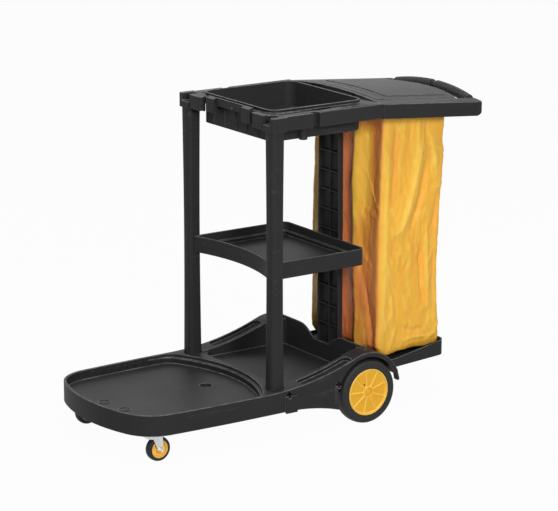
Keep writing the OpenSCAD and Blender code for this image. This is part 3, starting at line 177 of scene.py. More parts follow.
# Finishes
def moulded_black(name, dark, light, rough, scuff_and_highlight_tone):
    """Moulded polypropylene: fine grain, faint clouds and drag marks, edges paler from scuffing and a painted
    highlight, and painted shade in the recesses.
    """
    f = Finish(bpy.data.materials.new(name))
    clouds = f.cloud(7, 5, 0.6)
    grain = f.cloud(1500, 2)
    pebble = f.cloud(420, 3, 0.6)
    streaks = f.cloud(16, 4, 0.6, (1, 0.25, 2.6)).step(0.52, 0.78)
    edge = f.mark("rounded_edge")
    # Rounded edges lighter: scuffing mixed with a painted highlight, upper edges most
    edge_scuff_and_highlight = edge * (0.45 + 0.55 * f.cloud(40, 4, 0.65).step(0.36, 0.60))
    recess_shade = f.mark("recess_shade")
    drags = f.cloud(46, 3, 0.6, (0.10, 1, 1)).step(0.58, 0.74)
    drags = drags * f.cloud(9, 2).step(0.45, 0.65)
    tone = f.blend(clouds, dark, light)
    tone = f.blend(streaks * 0.5, tone, light)
    tone = f.blend(drags * 0.12, tone, scuff_and_highlight_tone)
    # Painted shade: faces in recesses darkened towards near black
    tone = f.blend(recess_shade.step(0.06, 0.45) * 0.88, tone, RECESS_SHADE_BLACK)
    # Edges lightened by scuffing and a painted highlight, kept out of the painted recess shade
    tone = f.blend(edge_scuff_and_highlight * (1 - recess_shade.step(0.25, 0.50)), tone, scuff_and_highlight_tone)
    roughness = rough + (clouds - 0.5) * 0.16 + (pebble - 0.5) * 0.10
    height = pebble * 0.7 + grain * 0.3
    normal = f.bump(height, BUMP_PLASTIC, 0.35)
    return f.surface(Base_Color=tone, Roughness=roughness, Normal=normal, Specular_IOR_Level=0.09)


def rubber(name, dark, light, rough, scale):
    """Rubber with dust in its pores and a dull bloom."""
    f = Finish(bpy.data.materials.new(name))
    clouds = f.cloud(22, 5, 0.6)
    pores = f.cloud(scale, 3, 0.65)
    dust = f.cloud(60, 5, 0.7).step(0.55, 0.8)
    tone = f.blend(clouds, dark, light)
    tone = f.blend(dust * 0.25, tone, DUST)
    roughness = rough + (pores - 0.5) * 0.2
    normal = f.bump(pores, BUMP_RUBBER, 0.4)
    return f.surface(Base_Color=tone, Roughness=roughness, Normal=normal, Specular_IOR_Level=0.3)


def moulded_yellow(name, deep, light, flowed):
    """Glossier yellow moulding with flow marks, a fine grain and a painted highlight on its rounded edges."""
    f = Finish(bpy.data.materials.new(name))
    clouds = f.cloud(26, 4, 0.55)
    flow = f.cloud(90, 3, 0.6, (1, 0.3, 1))
    tone = f.blend(clouds, deep, light)
    tone = f.blend(flow.step(0.55, 0.8) * 0.35, tone, flowed)
    # Painted highlight on the rounded edges
    tone = f.blend(f.mark("rounded_edge") * 0.8, tone, EDGE_HIGHLIGHT_YELLOW)
    roughness = 0.36 + (clouds - 0.5) * 0.18
    normal = f.bump(f.cloud(900, 2), BUMP_HUB, 0.25)
    return f.surface(Base_Color=tone, Roughness=roughness, Normal=normal, Specular_IOR_Level=0.4)


def bag_cloth(name):
    """Coated cloth: a plain weave under a thin film, crinkled, with crease marks and slight fading, painted
    highlight on crinkle lines and crests, and painted shade on the front and in the dips.
    """
    f = Finish(bpy.data.materials.new(name))
    fade = f.cloud(5, 4, 0.55)
    marks = f.cloud(34, 6, 0.68, (1, 1, 0.45)).step(0.56, 0.72)
    flat = {"Vector": f.place((1, 1, 0)), "Scale": WEAVE_SCALE}
    warp = f.node("TexWave", {"bands_direction": "DIAGONAL"}, flat)
    weft = f.node("TexWave", {"bands_direction": "Z"}, {"Vector": f.place(), "Scale": WEAVE_SCALE})
    crinkle = f.ridge(24, 3, (1, 1, 0.30)) * 0.7
    crinkle = crinkle + f.ridge(44, 2, (1, 1, 0.55), (0, 0.5, 0)) ** 3 * 0.45
    tone = f.blend(fade, rgb(0.95, 0.465, 0.045), rgb(0.98, 0.530, 0.062))
    tone = f.blend(marks * 0.22, tone, MARK_ORANGE)
    upright = f.ridge(24, 1.5, (1, 1, 0.15)).step(0.92, 1.0)
    slanted = f.ridge(19, 1.5, (1, 1, 0.28), (0.35, 0.35, 0)).step(0.94, 1.0)
    lines = (upright * f.cloud(11, 3).step(0.38, 0.58)).most(slanted * f.cloud(13, 3).step(0.46, 0.62))
    # Painted highlight along crinkle lines
    tone = f.blend(lines * 0.6, tone, HIGHLIGHT_YELLOW)
    # Painted highlight on fold crests and the pale strips of the front
    tone = f.blend(f.mark("painted_highlight"), tone, HIGHLIGHT_YELLOW)
    # Painted shade: the front and the dips of the folds turn a deeper red-orange
    tone = f.blend(f.mark("painted_shade"), tone, SHADE_ORANGE)
    height = warp * 0.03 + weft * 0.03 + crinkle + lines * 0.5
    normal = f.bump(height, BUMP_CLOTH, 0.28)
    roughness = 0.42 + (fade - 0.5) * 0.2
    return f.surface(Base_Color=tone, Roughness=roughness, Normal=normal, Specular_IOR_Level=0.36)


def zinc_plate(name):
    """Zinc-plated pressed steel with faint spangle and rubbed patches."""
    f = Finish(bpy.data.materials.new(name))
    inputs = {"Vector": f.place(), "Scale": SPANGLE_SCALE}
    spangle = f.node("TexVoronoi", {"feature": "F1"}, inputs, out="Color")
    value = f.node("RGBToBW", {}, {"Color": spangle})
    rubbed = f.cloud(70, 5, 0.6)
    tone = f.blend(value, rgb(0.56, 0.57, 0.58), rgb(0.74, 0.74, 0.73))
    roughness = 0.26 + value * 0.12 + rubbed * 0.12
    normal = f.bump(rubbed, BUMP_ZINC, 0.2)
    return f.surface(Base_Color=tone, Metallic=1.0, Roughness=roughness, Normal=normal)


def rolled_brass(name):
    """Brass rings, dulled where they rub."""
    f = Finish(bpy.data.materials.new(name))
    dull = f.cloud(180, 4, 0.6)
    tone = f.blend(dull, rgb(0.62, 0.40, 0.13), rgb(0.80, 0.58, 0.24))
    return f.surface(Base_Color=tone, Metallic=1.0, Roughness=0.24 + dull * 0.2)


BLACK = moulded_black(
    "black_moulding", rgb(0.0230, 0.0226, 0.0234), rgb(0.0320, 0.0316, 0.0326), 0.50,
    rgb(0.185, 0.185, 0.186),
)
GRIP = rubber("grip_rubber_skin", rgb(0.0260, 0.0260, 0.0265), rgb(0.0380, 0.0380, 0.0385), 0.50, 1100)
TYRE = rubber("tyre_rubber_skin", rgb(0.0120, 0.0122, 0.0128), rgb(0.0190, 0.0192, 0.0200), 0.62, 700)
YELLOW = moulded_yellow(
    "yellow_moulding", rgb(0.83, 0.41, 0.012), rgb(0.93, 0.50, 0.022), rgb(0.78, 0.36, 0.010),
)
PALE_YELLOW = moulded_yellow(
    "pale_yellow_moulding", rgb(0.88, 0.50, 0.070), rgb(0.95, 0.58, 0.105), rgb(0.82, 0.44, 0.050),
)
CLOTH = bag_cloth("bag_coated_cloth")
ZINC = zinc_plate("zinc_plated_steel")
BRASS = rolled_brass("eyelet_brass")
FINISHES = {
    "black_plastic": BLACK,
    "grip_rubber": GRIP,
    "tyre_rubber": TYRE,
    "yellow_plastic": YELLOW,
    "bag_cloth": CLOTH,
    "zinc_steel": ZINC,
    "brass": BRASS,
}


# Helpers for pieces
MERGE_GAP = 0.00002
SMOOTH_ANGLE = math.radians(32)
EDGE_SEGMENTS, EDGE_ANGLE = 2, math.radians(34)
ROUNDED_TURN, FOLDED_TURN = 0.985, -0.1
UPWARD_GAIN = 1.6
DOME_RAYS, DOME_TURN, DOME_REACH, DOME_LIFT = 14, 2.4, 0.034, 0.0006


def only(obj):
    bpy.ops.object.select_all(action="DESELECT")
    obj.select_set(True)
    bpy.context.view_layer.objects.active = obj


def dress(obj, finish):
    obj.data.materials.clear()
    obj.data.materials.append(finish)


def applied(obj, kind, **settings):
    only(obj)
    modifier = obj.modifiers.new(kind.lower(), kind)
    for key, value in settings.items():
        setattr(modifier, key, value)
    bpy.ops.object.modifier_apply(modifier=modifier.name)


def smooth(obj):
    only(obj)
    bpy.ops.object.shade_smooth_by_angle(angle=SMOOTH_ANGLE)


def merged(obj):
    """Joins the loose triangles of a CAD mesh."""
    only(obj)
    bpy.ops.object.mode_set(mode="EDIT")
    bpy.ops.mesh.select_all(action="SELECT")
    bpy.ops.mesh.remove_doubles(threshold=MERGE_GAP)
    bpy.ops.object.mode_set(mode="OBJECT")


def settled(obj, moulding, width, top_scuff_and_highlight, side_scuff_and_highlight):
    """Draws stray points of rounded edges back, turns folded slivers round and marks the edges for scuffing
    and a painted highlight, more on upper edges.
    """
    for vertex in obj.data.vertices:
        spot, _, _, gap = moulding.find_nearest(vertex.co)
        if gap > 0.5 * width:
            vertex.co = spot
    obj.data.update()
    only(obj)
    bpy.ops.object.mode_set(mode="EDIT")
    bpy.ops.mesh.select_all(action="DESELECT")
    bpy.ops.object.mode_set(mode="OBJECT")
    facing = [face.normal.dot(moulding.find_nearest(face.center)[1]) for face in obj.data.polygons]
    scuff_and_highlight = []
    for face, turn in zip(obj.data.polygons, facing):
        upward = max(0.0, min(1.0, UPWARD_GAIN * face.normal.z))
        scuff_and_highlight.append(side_scuff_and_highlight + (top_scuff_and_highlight - side_scuff_and_highlight) * upward if abs(turn) < ROUNDED_TURN else 0.0)
    obj.data.attributes.new("rounded_edge", "FLOAT", "FACE").data.foreach_set("value", scuff_and_highlight)
    for face, turn in zip(obj.data.polygons, facing):
        face.select = turn < FOLDED_TURN
    bpy.ops.object.mode_set(mode="EDIT")
    bpy.ops.mesh.flip_normals()
    bpy.ops.object.mode_set(mode="OBJECT")


def dome():
    """Directions spread over the half sphere above a face: two shares across it and one along its normal."""
    rays = []
    for k in range(DOME_RAYS):
        h = (k + 0.5) / DOME_RAYS
        flat = math.sqrt(1 - h * h)
        rays.append((math.cos(DOME_TURN * k) * flat, math.sin(DOME_TURN * k) * flat, h))
    return rays


def paint_recess_shade(obj, moulding):
    """Marks how far each face lies in a recess, by the share of the sky that the moulding itself hides; the
    mark darkens the recesses as painted shade.
    """
    rays = dome()
    whole = sum(h for _, _, h in rays)
    depths = []
    for face in obj.data.polygons:
        n = face.normal
        side = n.orthogonal().normalized()
        across = n.cross(side)
        start, hidden = face.center + n * DOME_LIFT, 0.0
        for x, y, h in rays:
            gap = moulding.ray_cast(start, side * x + across * y + n * h, DOME_REACH)[3]
            if gap is not None:
                hidden += h * (1 - gap / DOME_REACH)
        depths.append(hidden / whole)
    obj.data.attributes.new("recess_shade", "FLOAT", "FACE").data.foreach_set("value", depths)


def softened(node, body, slot, width, top_scuff_and_highlight, side_scuff_and_highlight):
    """A copy of a CAD node with its edges rounded as the mould rounds them."""
    piece = bpy.data.objects.new(node + "_moulded", frame["nodes"][node].data.copy())
    bpy.context.scene.collection.objects.link(piece)
    merged(piece)
    mesh = piece.data
    moulding = BVHTree.FromPolygons([v.co for v in mesh.vertices], [f.vertices[:] for f in mesh.polygons])
    applied(
        piece, "BEVEL", width=width, segments=EDGE_SEGMENTS, limit_method="ANGLE", angle_limit=EDGE_ANGLE,
        use_clamp_overlap=False, loop_slide=True, miter_outer="MITER_SHARP",
    )
    settled(piece, moulding, width, top_scuff_and_highlight, side_scuff_and_highlight)
    paint_recess_shade(piece, moulding)
    smooth(piece)
    applied(piece, "WEIGHTED_NORMAL", keep_sharp=True)
    dress(piece, FINISHES[slot])
    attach(piece, body)
    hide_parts(node)


# CAD nodes keep their shape and take the finish of their slot, the caster hubs a paler one
for row in frame["record"]["subparts"]:
    dress(frame["nodes"][row["node"]], FINISHES[row["material_slot"]])
for node in ("left_caster_hub", "right_caster_hub"):
    dress(frame["nodes"][node], PALE_YELLOW)

# Mouldings: node, body, slot, edge radius, scuffing and painted highlight of the upper edges and of the
# others
MOULDINGS = (
    ("base_platform", "chassis", "black_plastic", 0.0020, 1.0, 0.30),
    ("left_front_post", "chassis", "black_plastic", 0.0012, 0.5, 0.45),
    ("right_front_post", "chassis", "black_plastic", 0.0012, 0.5, 0.45),
    ("rear_post", "chassis", "black_plastic", 0.0012, 0.1, 0.1),
    ("middle_shelf", "chassis", "black_plastic", 0.0018, 0.8, 0.35),
    ("top_tray", "chassis", "black_plastic", 0.0018, 1.0, 0.20),
    ("bag_frame", "chassis", "black_plastic", 0.0016, 1.0, 0.25),
    ("bag_platform", "chassis", "black_plastic", 0.0016, 0.8, 0.40),
    ("lid", "lid", "black_plastic", 0.0010, 1.0, 0.40),
    ("left_hub", "left_wheel", "yellow_plastic", 0.0009, 1.0, 1.0),
    ("right_hub", "right_wheel", "yellow_plastic", 0.0009, 1.0, 1.0),
)
for row in MOULDINGS:
    softened(*row)


# Bag: rows from the hem down, with height, front, rear, half width and corner radius
BAG_ROWS = (
    (0.962, 0.3040, 0.5450, 0.1800, 0.010),
    (0.932, 0.3040, 0.5440, 0.1800, 0.008),
    (0.850, 0.3000, 0.5360, 0.1800, 0.007),
    (0.812, 0.2985, 0.5430, 0.1800, 0.007),
    (0.716, 0.2950, 0.5330, 0.1800, 0.007),
    (0.578, 0.2910, 0.5260, 0.1800, 0.007),
    (0.428, 0.2890, 0.5190, 0.1800, 0.007),
    (0.299, 0.2885, 0.5260, 0.1795, 0.008),
    (0.212, 0.2850, 0.5300, 0.1795, 0.009),
    (0.188, 0.2865, 0.5300, 0.1785, 0.010),
    (0.175, 0.2930, 0.5275, 0.1745, 0.012),
)
BAG_AROUND = 264
BAG_STEP = 0.0046
FRAME_LEAN = math.tan(math.radians(4.8))
PLATFORM_RIM, PLATFORM_REACH = 0.206, 0.5325
# Painted highlight on fold crests; painted shade in the dips and the slack of the cloth
CREST_FULL, CREST_HIGHLIGHT_SHARE, DIP_SHADE_SHARE, SLACK_SHADE = 0.006, 0.75, 0.17, 0.5
WANDER, SLACK, CRUMPLE = 0.0024, 0.0012, 0.0008
HANG_RUN, LEAN_RUN, HEM_RUN = 0.07, 0.25, 0.04
EDGE_WAVE, REAR_EDGE_RISE = 0.0022, 0.004
BOTTOM_RINGS = ((0.93, 0.003), (0.82, 0.004), (0.6, 0.003), (0.35, 0.002), (0.1, 0.002))
BOTTOM_WAVE, POLE_DROP = 0.0015, 0.002
CLOTH_THICK = 0.0012
WRINKLE_LENGTH, WRINKLE_BEND = (0.03, 0.10), 0.006
WRINKLE_WIDTH, WRINKLE_RISE = (0.005, 0.009), (0.0010, 0.0026)
UPRIGHT_SHARE, UPRIGHT_SPREAD, LEAN_LIMIT = 0.7, 16, 80
CREASE_REACH = 3

# Deep folds of the front: height, then places across the face with how far each stands out
FRONT_FAR = ((0.060, -0.012), (0.118, 0.001), (0.180, 0.0))
FRONT_FOLDS = (
    (0.94, (
        (-0.180, 0.0), (-0.112, -0.016), (-0.096, -0.015), (-0.046, 0.010), (-0.036, -0.012), (0.0, -0.018),
    ) + FRONT_FAR),
    (0.72, (
        (-0.180, 0.0), (-0.112, -0.020), (-0.096, -0.018), (-0.046, 0.012), (-0.037, -0.013), (0.0, -0.020),
    ) + FRONT_FAR),
    (0.50, (
        (-0.180, 0.0), (-0.112, -0.009), (-0.096, -0.008), (-0.052, 0.008), (-0.043, -0.012), (0.0, -0.018),
    ) + FRONT_FAR),
    (0.38, (
        (-0.180, 0.0), (-0.110, -0.005), (-0.092, -0.004), (-0.057, 0.006), (-0.048, -0.011), (0.0, -0.017),
    ) + FRONT_FAR),
    (0.20, (
        (-0.180, 0.0), (-0.142, -0.007), (-0.128, -0.006), (-0.066, 0.006), (-0.057, -0.010), (0.0, -0.014),
    ) + FRONT_FAR),
)
# Lower edge: places along the near face and across the front, with the rise of the edge there
NEAR_EDGE = (
    (0.284, 0.016), (0.331, -0.006), (0.388, 0.002), (0.423, 0.005), (0.476, 0.002), (0.530, 0.008),
)
FRONT_EDGE = ((-0.180, 0.016), (-0.117, 0.012), (-0.070, -0.001), (0.005, 0.006), (0.180, 0.004))

# Painted shade and light of the front: height, then places across the face, with 1 for the painted shade and
# -1 for the painted highlight
FAR_STRIP_SHADE = ((0.100, 1.0), (0.126, 0.1), (0.180, 0.0))
FRONT_SHADE_AND_LIGHT = (
    (0.93, (
        (-0.180, 0.8), (-0.150, 0.9), (-0.090, 0.8), (-0.040, 0.6), (0.0, 1.0),
    ) + FAR_STRIP_SHADE),
    (0.84, (
        (-0.180, 0.7), (-0.116, 0.8), (-0.096, -0.3), (-0.044, -0.3), (-0.034, 1.0),
    ) + FAR_STRIP_SHADE),
    (0.70, (
        (-0.180, 0.5), (-0.150, 0.6), (-0.112, 0.4), (-0.092, -0.3), (-0.046, -0.3), (-0.036, 1.0),
    ) + FAR_STRIP_SHADE),
    (0.55, (
        (-0.180, 0.5), (-0.130, 0.6), (-0.092, 0.4), (-0.052, 0.2), (-0.042, 1.0),
    ) + FAR_STRIP_SHADE),
    (0.38, (
        (-0.180, 0.7), (-0.130, 0.8), (-0.090, 0.8), (-0.056, 0.6), (-0.046, 1.0),
    ) + FAR_STRIP_SHADE),
    (0.20, (
        (-0.180, 0.7), (-0.136, 0.8), (-0.114, 0.4), (-0.066, 0.2), (-0.056, 1.0),
    ) + FAR_STRIP_SHADE),
)

# Creases: points along the face and up, then width and rise
NEAR_CREASES = (
    (
        ((0.457, 0.880), (0.446, 0.821), (0.425, 0.714), (0.403, 0.630), (0.375, 0.567), (0.335, 0.543)),
        0.026, 0.0130,
    ),
    (((0.474, 0.794), (0.458, 0.700), (0.440, 0.626), (0.410, 0.560)), 0.012, -0.0100),
    (((0.352, 0.930), (0.350, 0.780), (0.340, 0.640)), 0.018, -0.0080),
    (((0.484, 0.880), (0.500, 0.800), (0.512, 0.720)), 0.013, 0.0060),
    (((0.324, 0.955), (0.319, 0.700), (0.312, 0.500), (0.311, 0.350), (0.304, 0.180)), 0.018, 0.0070),
    (((0.386, 0.945), (0.384, 0.880), (0.376, 0.780)), 0.008, 0.0034),
    (((0.412, 0.945), (0.408, 0.880), (0.404, 0.800)), 0.007, -0.0036),
    (((0.446, 0.945), (0.440, 0.890), (0.432, 0.780)), 0.007, 0.0036),
    (((0.478, 0.945), (0.470, 0.900), (0.466, 0.840)), 0.006, -0.0034),
    (((0.522, 0.680), (0.508, 0.620), (0.500, 0.540)), 0.010, -0.0052),
    (((0.453, 0.520), (0.456, 0.420), (0.468, 0.320)), 0.012, -0.0105),
    (((0.476, 0.580), (0.477, 0.456), (0.484, 0.300)), 0.008, 0.0082),
    (((0.508, 0.520), (0.502, 0.400), (0.512, 0.260)), 0.007, -0.0052),
    (((0.305, 0.520), (0.330, 0.420), (0.345, 0.330), (0.340, 0.250)), 0.010, 0.0046),
    (((0.316, 0.470), (0.338, 0.380), (0.330, 0.300)), 0.005, -0.0032),
    (((0.330, 0.420), (0.356, 0.330), (0.362, 0.270)), 0.006, -0.0036),
    (((0.300, 0.330), (0.318, 0.270), (0.332, 0.190)), 0.006, 0.0030),
    (((0.331, 0.170), (0.352, 0.230), (0.360, 0.262)), 0.007, 0.0040),
    (((0.360, 0.262), (0.420, 0.238), (0.480, 0.240)), 0.008, -0.0030),
    (((0.380, 0.205), (0.430, 0.214), (0.500, 0.208)), 0.006, 0.0032),
    (((0.470, 0.190), (0.510, 0.214), (0.530, 0.260)), 0.007, 0.0042),
)
FRONT_CREASES = (
    (((-0.080, 0.760), (-0.100, 0.720), (-0.118, 0.680)), 0.005, 0.0030),
    (((-0.092, 0.740), (-0.120, 0.690), (-0.150, 0.660)), 0.004, -0.0028),
    (((-0.100, 0.690), (-0.140, 0.655), (-0.178, 0.642)), 0.005, 0.0034),
    (((-0.085, 0.640), (-0.130, 0.634), (-0.178, 0.622)), 0.004, -0.0028),
    (((-0.090, 0.620), (-0.130, 0.612), (-0.178, 0.604)), 0.004, 0.0024),
    (((-0.090, 0.440), (-0.125, 0.310), (-0.150, 0.200)), 0.012, -0.0050),
)
REAR_CREASES = (
    (((-0.110, 0.930), (-0.105, 0.550), (-0.120, 0.210)), 0.030, -0.0080),
    (((-0.030, 0.930), (-0.036, 0.550), (-0.020, 0.210)), 0.026, 0.0030),
    (((0.050, 0.930), (0.046, 0.550), (0.060, 0.210)), 0.034, -0.0090),
    (((0.130, 0.930), (0.128, 0.550), (0.120, 0.210)), 0.022, -0.0040),
)
FAR_CREASES = (
    (((0.340, 0.940), (0.350, 0.600), (0.335, 0.250)), 0.026, -0.0060),
    (((0.410, 0.940), (0.420, 0.700), (0.450, 0.450)), 0.022, 0.0030),
    (((0.480, 0.940), (0.470, 0.600), (0.490, 0.220)), 0.026, -0.0070),
)


def small_wrinkles(seed, count, u0, u1, z0, z1):
    """Short creases strewn over a face, most of them upright."""
    draw = random.Random(seed)
    wrinkles = []
    for _ in range(count):
        u, z = draw.uniform(u0, u1), draw.uniform(z0, z1)
        length = draw.uniform(*WRINKLE_LENGTH)
        upright = draw.random() < UPRIGHT_SHARE
        degrees = draw.gauss(0, UPRIGHT_SPREAD) if upright else draw.uniform(-LEAN_LIMIT, LEAN_LIMIT)
        lean = math.radians(degrees)
        bend = draw.uniform(-WRINKLE_BEND, WRINKLE_BEND)
        du, dz = math.sin(lean) * length / 2, math.cos(lean) * length / 2
        path = ((u - du, z - dz), (u + bend, z), (u + du, z + dz))
        width = draw.uniform(*WRINKLE_WIDTH)
        rise = draw.choice((-1, 1, 1, 1)) * draw.uniform(*WRINKLE_RISE)
        wrinkles.append((path, width, rise))
    return tuple(wrinkles)


def framed(creases):
    """Creases with the box each can reach."""
    rows = []
    for path, width, rise in creases:
        us, zs, reach = [p[0] for p in path], [p[1] for p in path], CREASE_REACH * width
        box = (min(us) - reach, max(us) + reach, min(zs) - reach, max(zs) + reach)
        rows.append((box, (path, width, rise)))
    return rows


def between(rows, z):
    """A row of the bag at any height."""
    for upper, lower in zip(rows, rows[1:]):
        if z >= lower[0]:
            t = (upper[0] - z) / (upper[0] - lower[0])
            return [a + (b - a) * t for a, b in zip(upper, lower)]
    return list(rows[-1])


def outline(front, rear, half, r, count):
    """Points spaced evenly round a rounded rectangle, from the near front corner on, with outward normals."""
    long, wide, bend = rear - front - 2 * r, 2 * half - 2 * r, math.pi * r / 2
    total = 2 * (long + wide) + 4 * bend
    corners = ((front + r, -half + r), (rear - r, -half + r), (rear - r, half - r), (front + r, half - r))
    runs = (long, wide, long, wide)
    points = []
    for i in range(count):
        s = total * i / count
        for k in range(4):
            turn = math.pi * (k / 2 - 0.5)
            if s < runs[k]:
                cx, cy = corners[k]
                n = Vector((math.cos(turn), math.sin(turn)))
                along = Vector((-n.y, n.x))
                points.append((Vector((cx, cy)) + n * r + along * s, n))
                break
            s -= runs[k]
            if s < bend:
                cx, cy = corners[(k + 1) % 4]
                a = turn + s / r
                n = Vector((math.cos(a), math.sin(a)))
                points.append((Vector((cx, cy)) + n * r, n))
                break
            s -= bend
    return points


def crease(u, z, path, width, rise):
    """Height of a crease, a sharp crest that fades at both ends, and its painted highlight, or below 0 its
    painted shade.
    """
    nearest, place = 1.0, 0.0
    for k, ((u0, z0), (u1, z1)) in enumerate(zip(path, path[1:])):
        du, dz = u1 - u0, z1 - z0
        t = max(0.0, min(1.0, ((u - u0) * du + (z - z0) * dz) / (du * du + dz * dz)))
        gap = math.hypot(u - u0 - t * du, z - z0 - t * dz)
        if gap < nearest:
            nearest, place = gap, (k + t) / (len(path) - 1)
    fading = min(1.0, 4.5 * place * (1 - place) + 0.12)
    d = nearest / width
    pale = fading * math.exp(-1.6 * d * d) * max(-1.0, min(1.0, rise / CREST_FULL))
    return rise * fading * (0.45 * math.exp(-d * d) + 0.55 * math.exp(-2.2 * d)), pale


def eased(points, at):
    """Value at a place on a row of points, level at each point."""
    for (a, va), (b, vb) in zip(points, points[1:]):
        if at <= b:
            t = max(0.0, (at - a) / (b - a))
            return va + (vb - va) * t * t * (3 - 2 * t)
    return points[-1][1]


def on_front(rows, y, z):
    """Value at a place and a height on the front, from rows of values across it."""
    return eased([(-height, eased(row, y)) for height, row in rows], -z)


NEAR_FACE = framed(NEAR_CREASES + small_wrinkles(3, 90, 0.31, 0.53, 0.20, 0.93))
FAR_FACE = framed(FAR_CREASES + small_wrinkles(5, 70, 0.31, 0.53, 0.20, 0.93))
FRONT_FACE = framed(FRONT_CREASES + small_wrinkles(7, 70, -0.17, 0.17, 0.20, 0.93))
REAR_FACE = framed(REAR_CREASES + small_wrinkles(9, 90, -0.17, 0.17, 0.20, 0.93))


def folds(p, n, z):
    """How far the cloth stands out of its plain outline, and its painted highlight, or below 0 its painted
    shade.
    """
    near, far, front, rear = max(0.0, -n.y), max(0.0, n.y), max(0.0, -n.x), max(0.0, n.x)
    out, pale = front ** 3 * on_front(FRONT_FOLDS, p.y, z), 0.0
    sides = ((NEAR_FACE, near, p.x), (FAR_FACE, far, p.x), (FRONT_FACE, front, p.y), (REAR_FACE, rear, p.y))
    for face, share, u in sides:
        if share > 0:
            near_by = [crease(u, z, *c) for (a, b, low, high), c in face if a < u < b and low < z < high]
            out += share ** 2 * sum(height for height, _ in near_by)
            pale += share ** 2 * sum(tone for _, tone in near_by)
    wander = noise.fractal(Vector((p.x * 16, p.y * 16, z * 6)), 0.8, 2.0, 4)
    slack = noise.fractal(Vector((p.x * 30 + z * 6, p.y * 30, z * 13)), 0.9, 2.1, 3)
    crumple = 1 - 2 * abs(noise.fractal(Vector((p.x * 46 - z * 9, p.y * 46, z * 20)), 0.8, 2.0, 3))
    out += WANDER * wander + SLACK * slack + CRUMPLE * crumple
    return out, max(-1.0, min(1.0, pale + SLACK_SHADE * min(0.0, slack)))


def edge_rise(p, n):
    """How far the lower edge rises at a place."""
    if abs(n.y) > abs(n.x):
        return eased(NEAR_EDGE, p.x)
    return eased(FRONT_EDGE, p.y) if n.x < 0 else REAR_EDGE_RISE


def bag_piece():
    """The bag as a lofted shell, its rows folded and its bottom closed, with its painted shade and highlight
    on the points.
    """
    rings, painted_shades, painted_highlights = [], [], []
    top, low = BAG_ROWS[0][0], BAG_ROWS[-1][0]
    count = round((top - low) / BAG_STEP)
    for j in range(count + 1):
        z = top + (low - top) * j / count
        _, front, rear, half, r = between(BAG_ROWS, z)
        hang = min(1.0, (top - z) / HANG_RUN)
        lean = FRAME_LEAN * max(0.0, 1.0 - (top - z) / LEAN_RUN)
        hem = max(0.0, 1 - (z - low) / HEM_RUN)
        ring = []
        for p, n in outline(front, rear, half, r, BAG_AROUND):
            out, pale = folds(p, n, z)
            q = p + n * out * hang
            if z < PLATFORM_RIM:
                q.x = min(q.x, PLATFORM_REACH)
            # Painted shade and painted highlight of the front, and painted shade in the dips
            tone = max(0.0, -n.x) * on_front(FRONT_SHADE_AND_LIGHT, p.y, z)
            painted_shades.append(max(0.0, tone, -DIP_SHADE_SHARE * pale))
            # Painted highlight from the pale strips of the front and the crests of folds
            painted_highlights.append(min(1.0, max(0.0, -tone) + CREST_HIGHLIGHT_SHARE * max(0.0, pale)))
            rise = hem * (edge_rise(p, n) + EDGE_WAVE * noise.noise(Vector((p.x * 60, p.y * 60, 3.1))))
            ring.append((q.x, q.y, z - lean * (q.x - front) + rise))
        rings.append(ring)
    # The bottom closes in rings that sag to the middle
    last = rings[-1]
    middle = Vector((sum(p[0] for p in last), sum(p[1] for p in last))) / len(last)
    for share, drop in BOTTOM_RINGS:
        ring = []
        for x, y, z in last:
            q = middle + (Vector((x, y)) - middle) * share
            sag = BOTTOM_WAVE * noise.noise(Vector((q.x * 30, q.y * 30, 7.7)))
            ring.append((q.x, q.y, low - drop + sag))
        rings.append(ring)
    verts = [p for ring in rings for p in ring] + [(middle.x, middle.y, low - POLE_DROP)]
    n, faces = BAG_AROUND, []
    for j in range(len(rings) - 1):
        for i in range(n):
            a, b = j * n + i, j * n + (i + 1) % n
            faces.append((a, a + n, b + n, b))
    pole, start = len(verts) - 1, (len(rings) - 1) * n
    faces += [(start + i, pole, start + (i + 1) % n) for i in range(n)]
    mesh = bpy.data.meshes.new("bag_cloth_shell")
    mesh.from_pydata(verts, [], faces)
    for name, tones in (("painted_shade", painted_shades), ("painted_highlight", painted_highlights)):
        values = mesh.attributes.new(name, "FLOAT", "POINT")
        values.data.foreach_set("value", tones + [0.0] * (len(verts) - len(tones)))
    bag = bpy.data.objects.new("bag_cloth_shell", mesh)
    bpy.context.scene.collection.objects.link(bag)
    only(bag)
    bpy.ops.object.mode_set(mode="EDIT")
    bpy.ops.mesh.select_all(action="SELECT")
    bpy.ops.mesh.normals_make_consistent(inside=False)
    bpy.ops.object.mode_set(mode="OBJECT")
    applied(bag, "SOLIDIFY", thickness=CLOTH_THICK, offset=-1.0)
    only(bag)
    bpy.ops.object.shade_smooth()
    dress(bag, CLOTH)
    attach(bag, "chassis")
    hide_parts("bag")


bag_piece()


# Floor, light and camera
FLOOR_SIZE = 60.0
FLOOR_PAINT = rgb(0.45, 0.45, 0.45)
FLOOR_SHADE = 0.03
WHITE = rgb(1, 1, 1)
WORLD_LEVEL = 0.11
# Lamps: name, place, aim, size and power
LAMPS = (
    ("top_softbox", (0.0, -0.4, 3.8), (0.0, 0.0, 0.6), (3.2, 2.4), 84),
    ("key_softbox", (-2.05, -4.80, 2.7), (0.1, 0.0, 0.6), (1.1, 1.4), 208),
    ("back_softbox", (1.9, 2.9, 2.3), (0.1, 0.0, 0.6), (2.4, 1.2), 12),
)


def seen(f):
    """1 for rays that show the background: straight from the camera, mirrored or let through."""
    kinds = ("Is Camera Ray", "Is Glossy Ray", "Is Transmission Ray")
    straight, mirrored, through = (f.node("LightPath", out=kind) for kind in kinds)
    return (straight + mirrored + through).least(1.0)


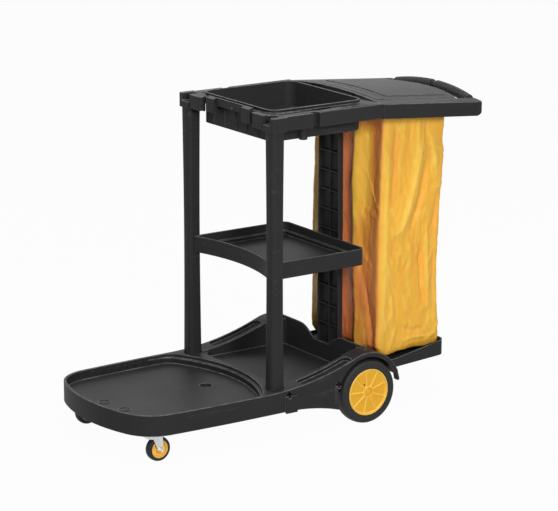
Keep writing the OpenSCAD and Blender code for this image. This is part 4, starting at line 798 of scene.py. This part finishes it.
def floor_finish():
    """White to the rays that show it, but for a share of plain paint that keeps the shadow."""
    f = Finish(bpy.data.materials.new("studio_floor"))
    paint = f.node("BsdfDiffuse", {}, {"Color": FLOOR_PAINT})
    glow = f.node("Emission", {}, {"Color": WHITE, "Strength": 1.0})
    mixed = f.node("MixShader", {}, {0: seen(f) * (1 - FLOOR_SHADE), 1: paint, 2: glow})
    f.node("OutputMaterial", {}, {"Surface": mixed})
    return f.owner


bpy.ops.object.select_all(action="DESELECT")
bpy.ops.mesh.primitive_plane_add(size=FLOOR_SIZE, location=(0, 0, 0))
floor = bpy.context.active_object
floor.name = "studio_floor"
dress(floor, floor_finish())

world = bpy.data.worlds.new("studio")
bpy.context.scene.world = world
sky = Finish(world)
dim = sky.node("Background", {}, {"Color": WHITE, "Strength": WORLD_LEVEL})
white = sky.node("Background", {}, {"Color": WHITE, "Strength": 1.0})
both = sky.node("MixShader", {}, {0: seen(sky), 1: dim, 2: white})
sky.node("OutputWorld", {}, {"Surface": both})


def lamp(name, at, to, size, power):
    data = bpy.data.lights.new(name, "AREA")
    data.shape = "RECTANGLE"
    data.size, data.size_y = size
    data.energy = power
    obj = bpy.data.objects.new(name, data)
    bpy.context.scene.collection.objects.link(obj)
    obj.location = at
    obj.rotation_euler = (Vector(to) - Vector(at)).to_track_quat("-Z", "Y").to_euler()


for row in LAMPS:
    lamp(*row)

back = Vector((
    math.sin(AZIMUTH) * math.cos(ELEVATION), -math.cos(AZIMUTH) * math.cos(ELEVATION), math.sin(ELEVATION),
))
level = Vector((math.cos(AZIMUTH), math.sin(AZIMUTH), 0))
upright = back.cross(level)
right = math.cos(ROLL) * level + math.sin(ROLL) * upright
up = math.cos(ROLL) * upright - math.sin(ROLL) * level
camera_data = bpy.data.cameras.new("camera")
camera_data.sensor_fit = "HORIZONTAL"
camera_data.sensor_width = SENSOR
camera_data.lens = FOCAL_PIXELS * SENSOR / PHOTO_WIDTH
camera = bpy.data.objects.new("camera", camera_data)
bpy.context.scene.collection.objects.link(camera)
camera.matrix_world = Matrix.Translation(CAMERA_AT) @ Matrix((right, up, back)).transposed().to_4x4()
bpy.context.scene.camera = camera
bpy.context.scene.view_settings.view_transform = "Standard"
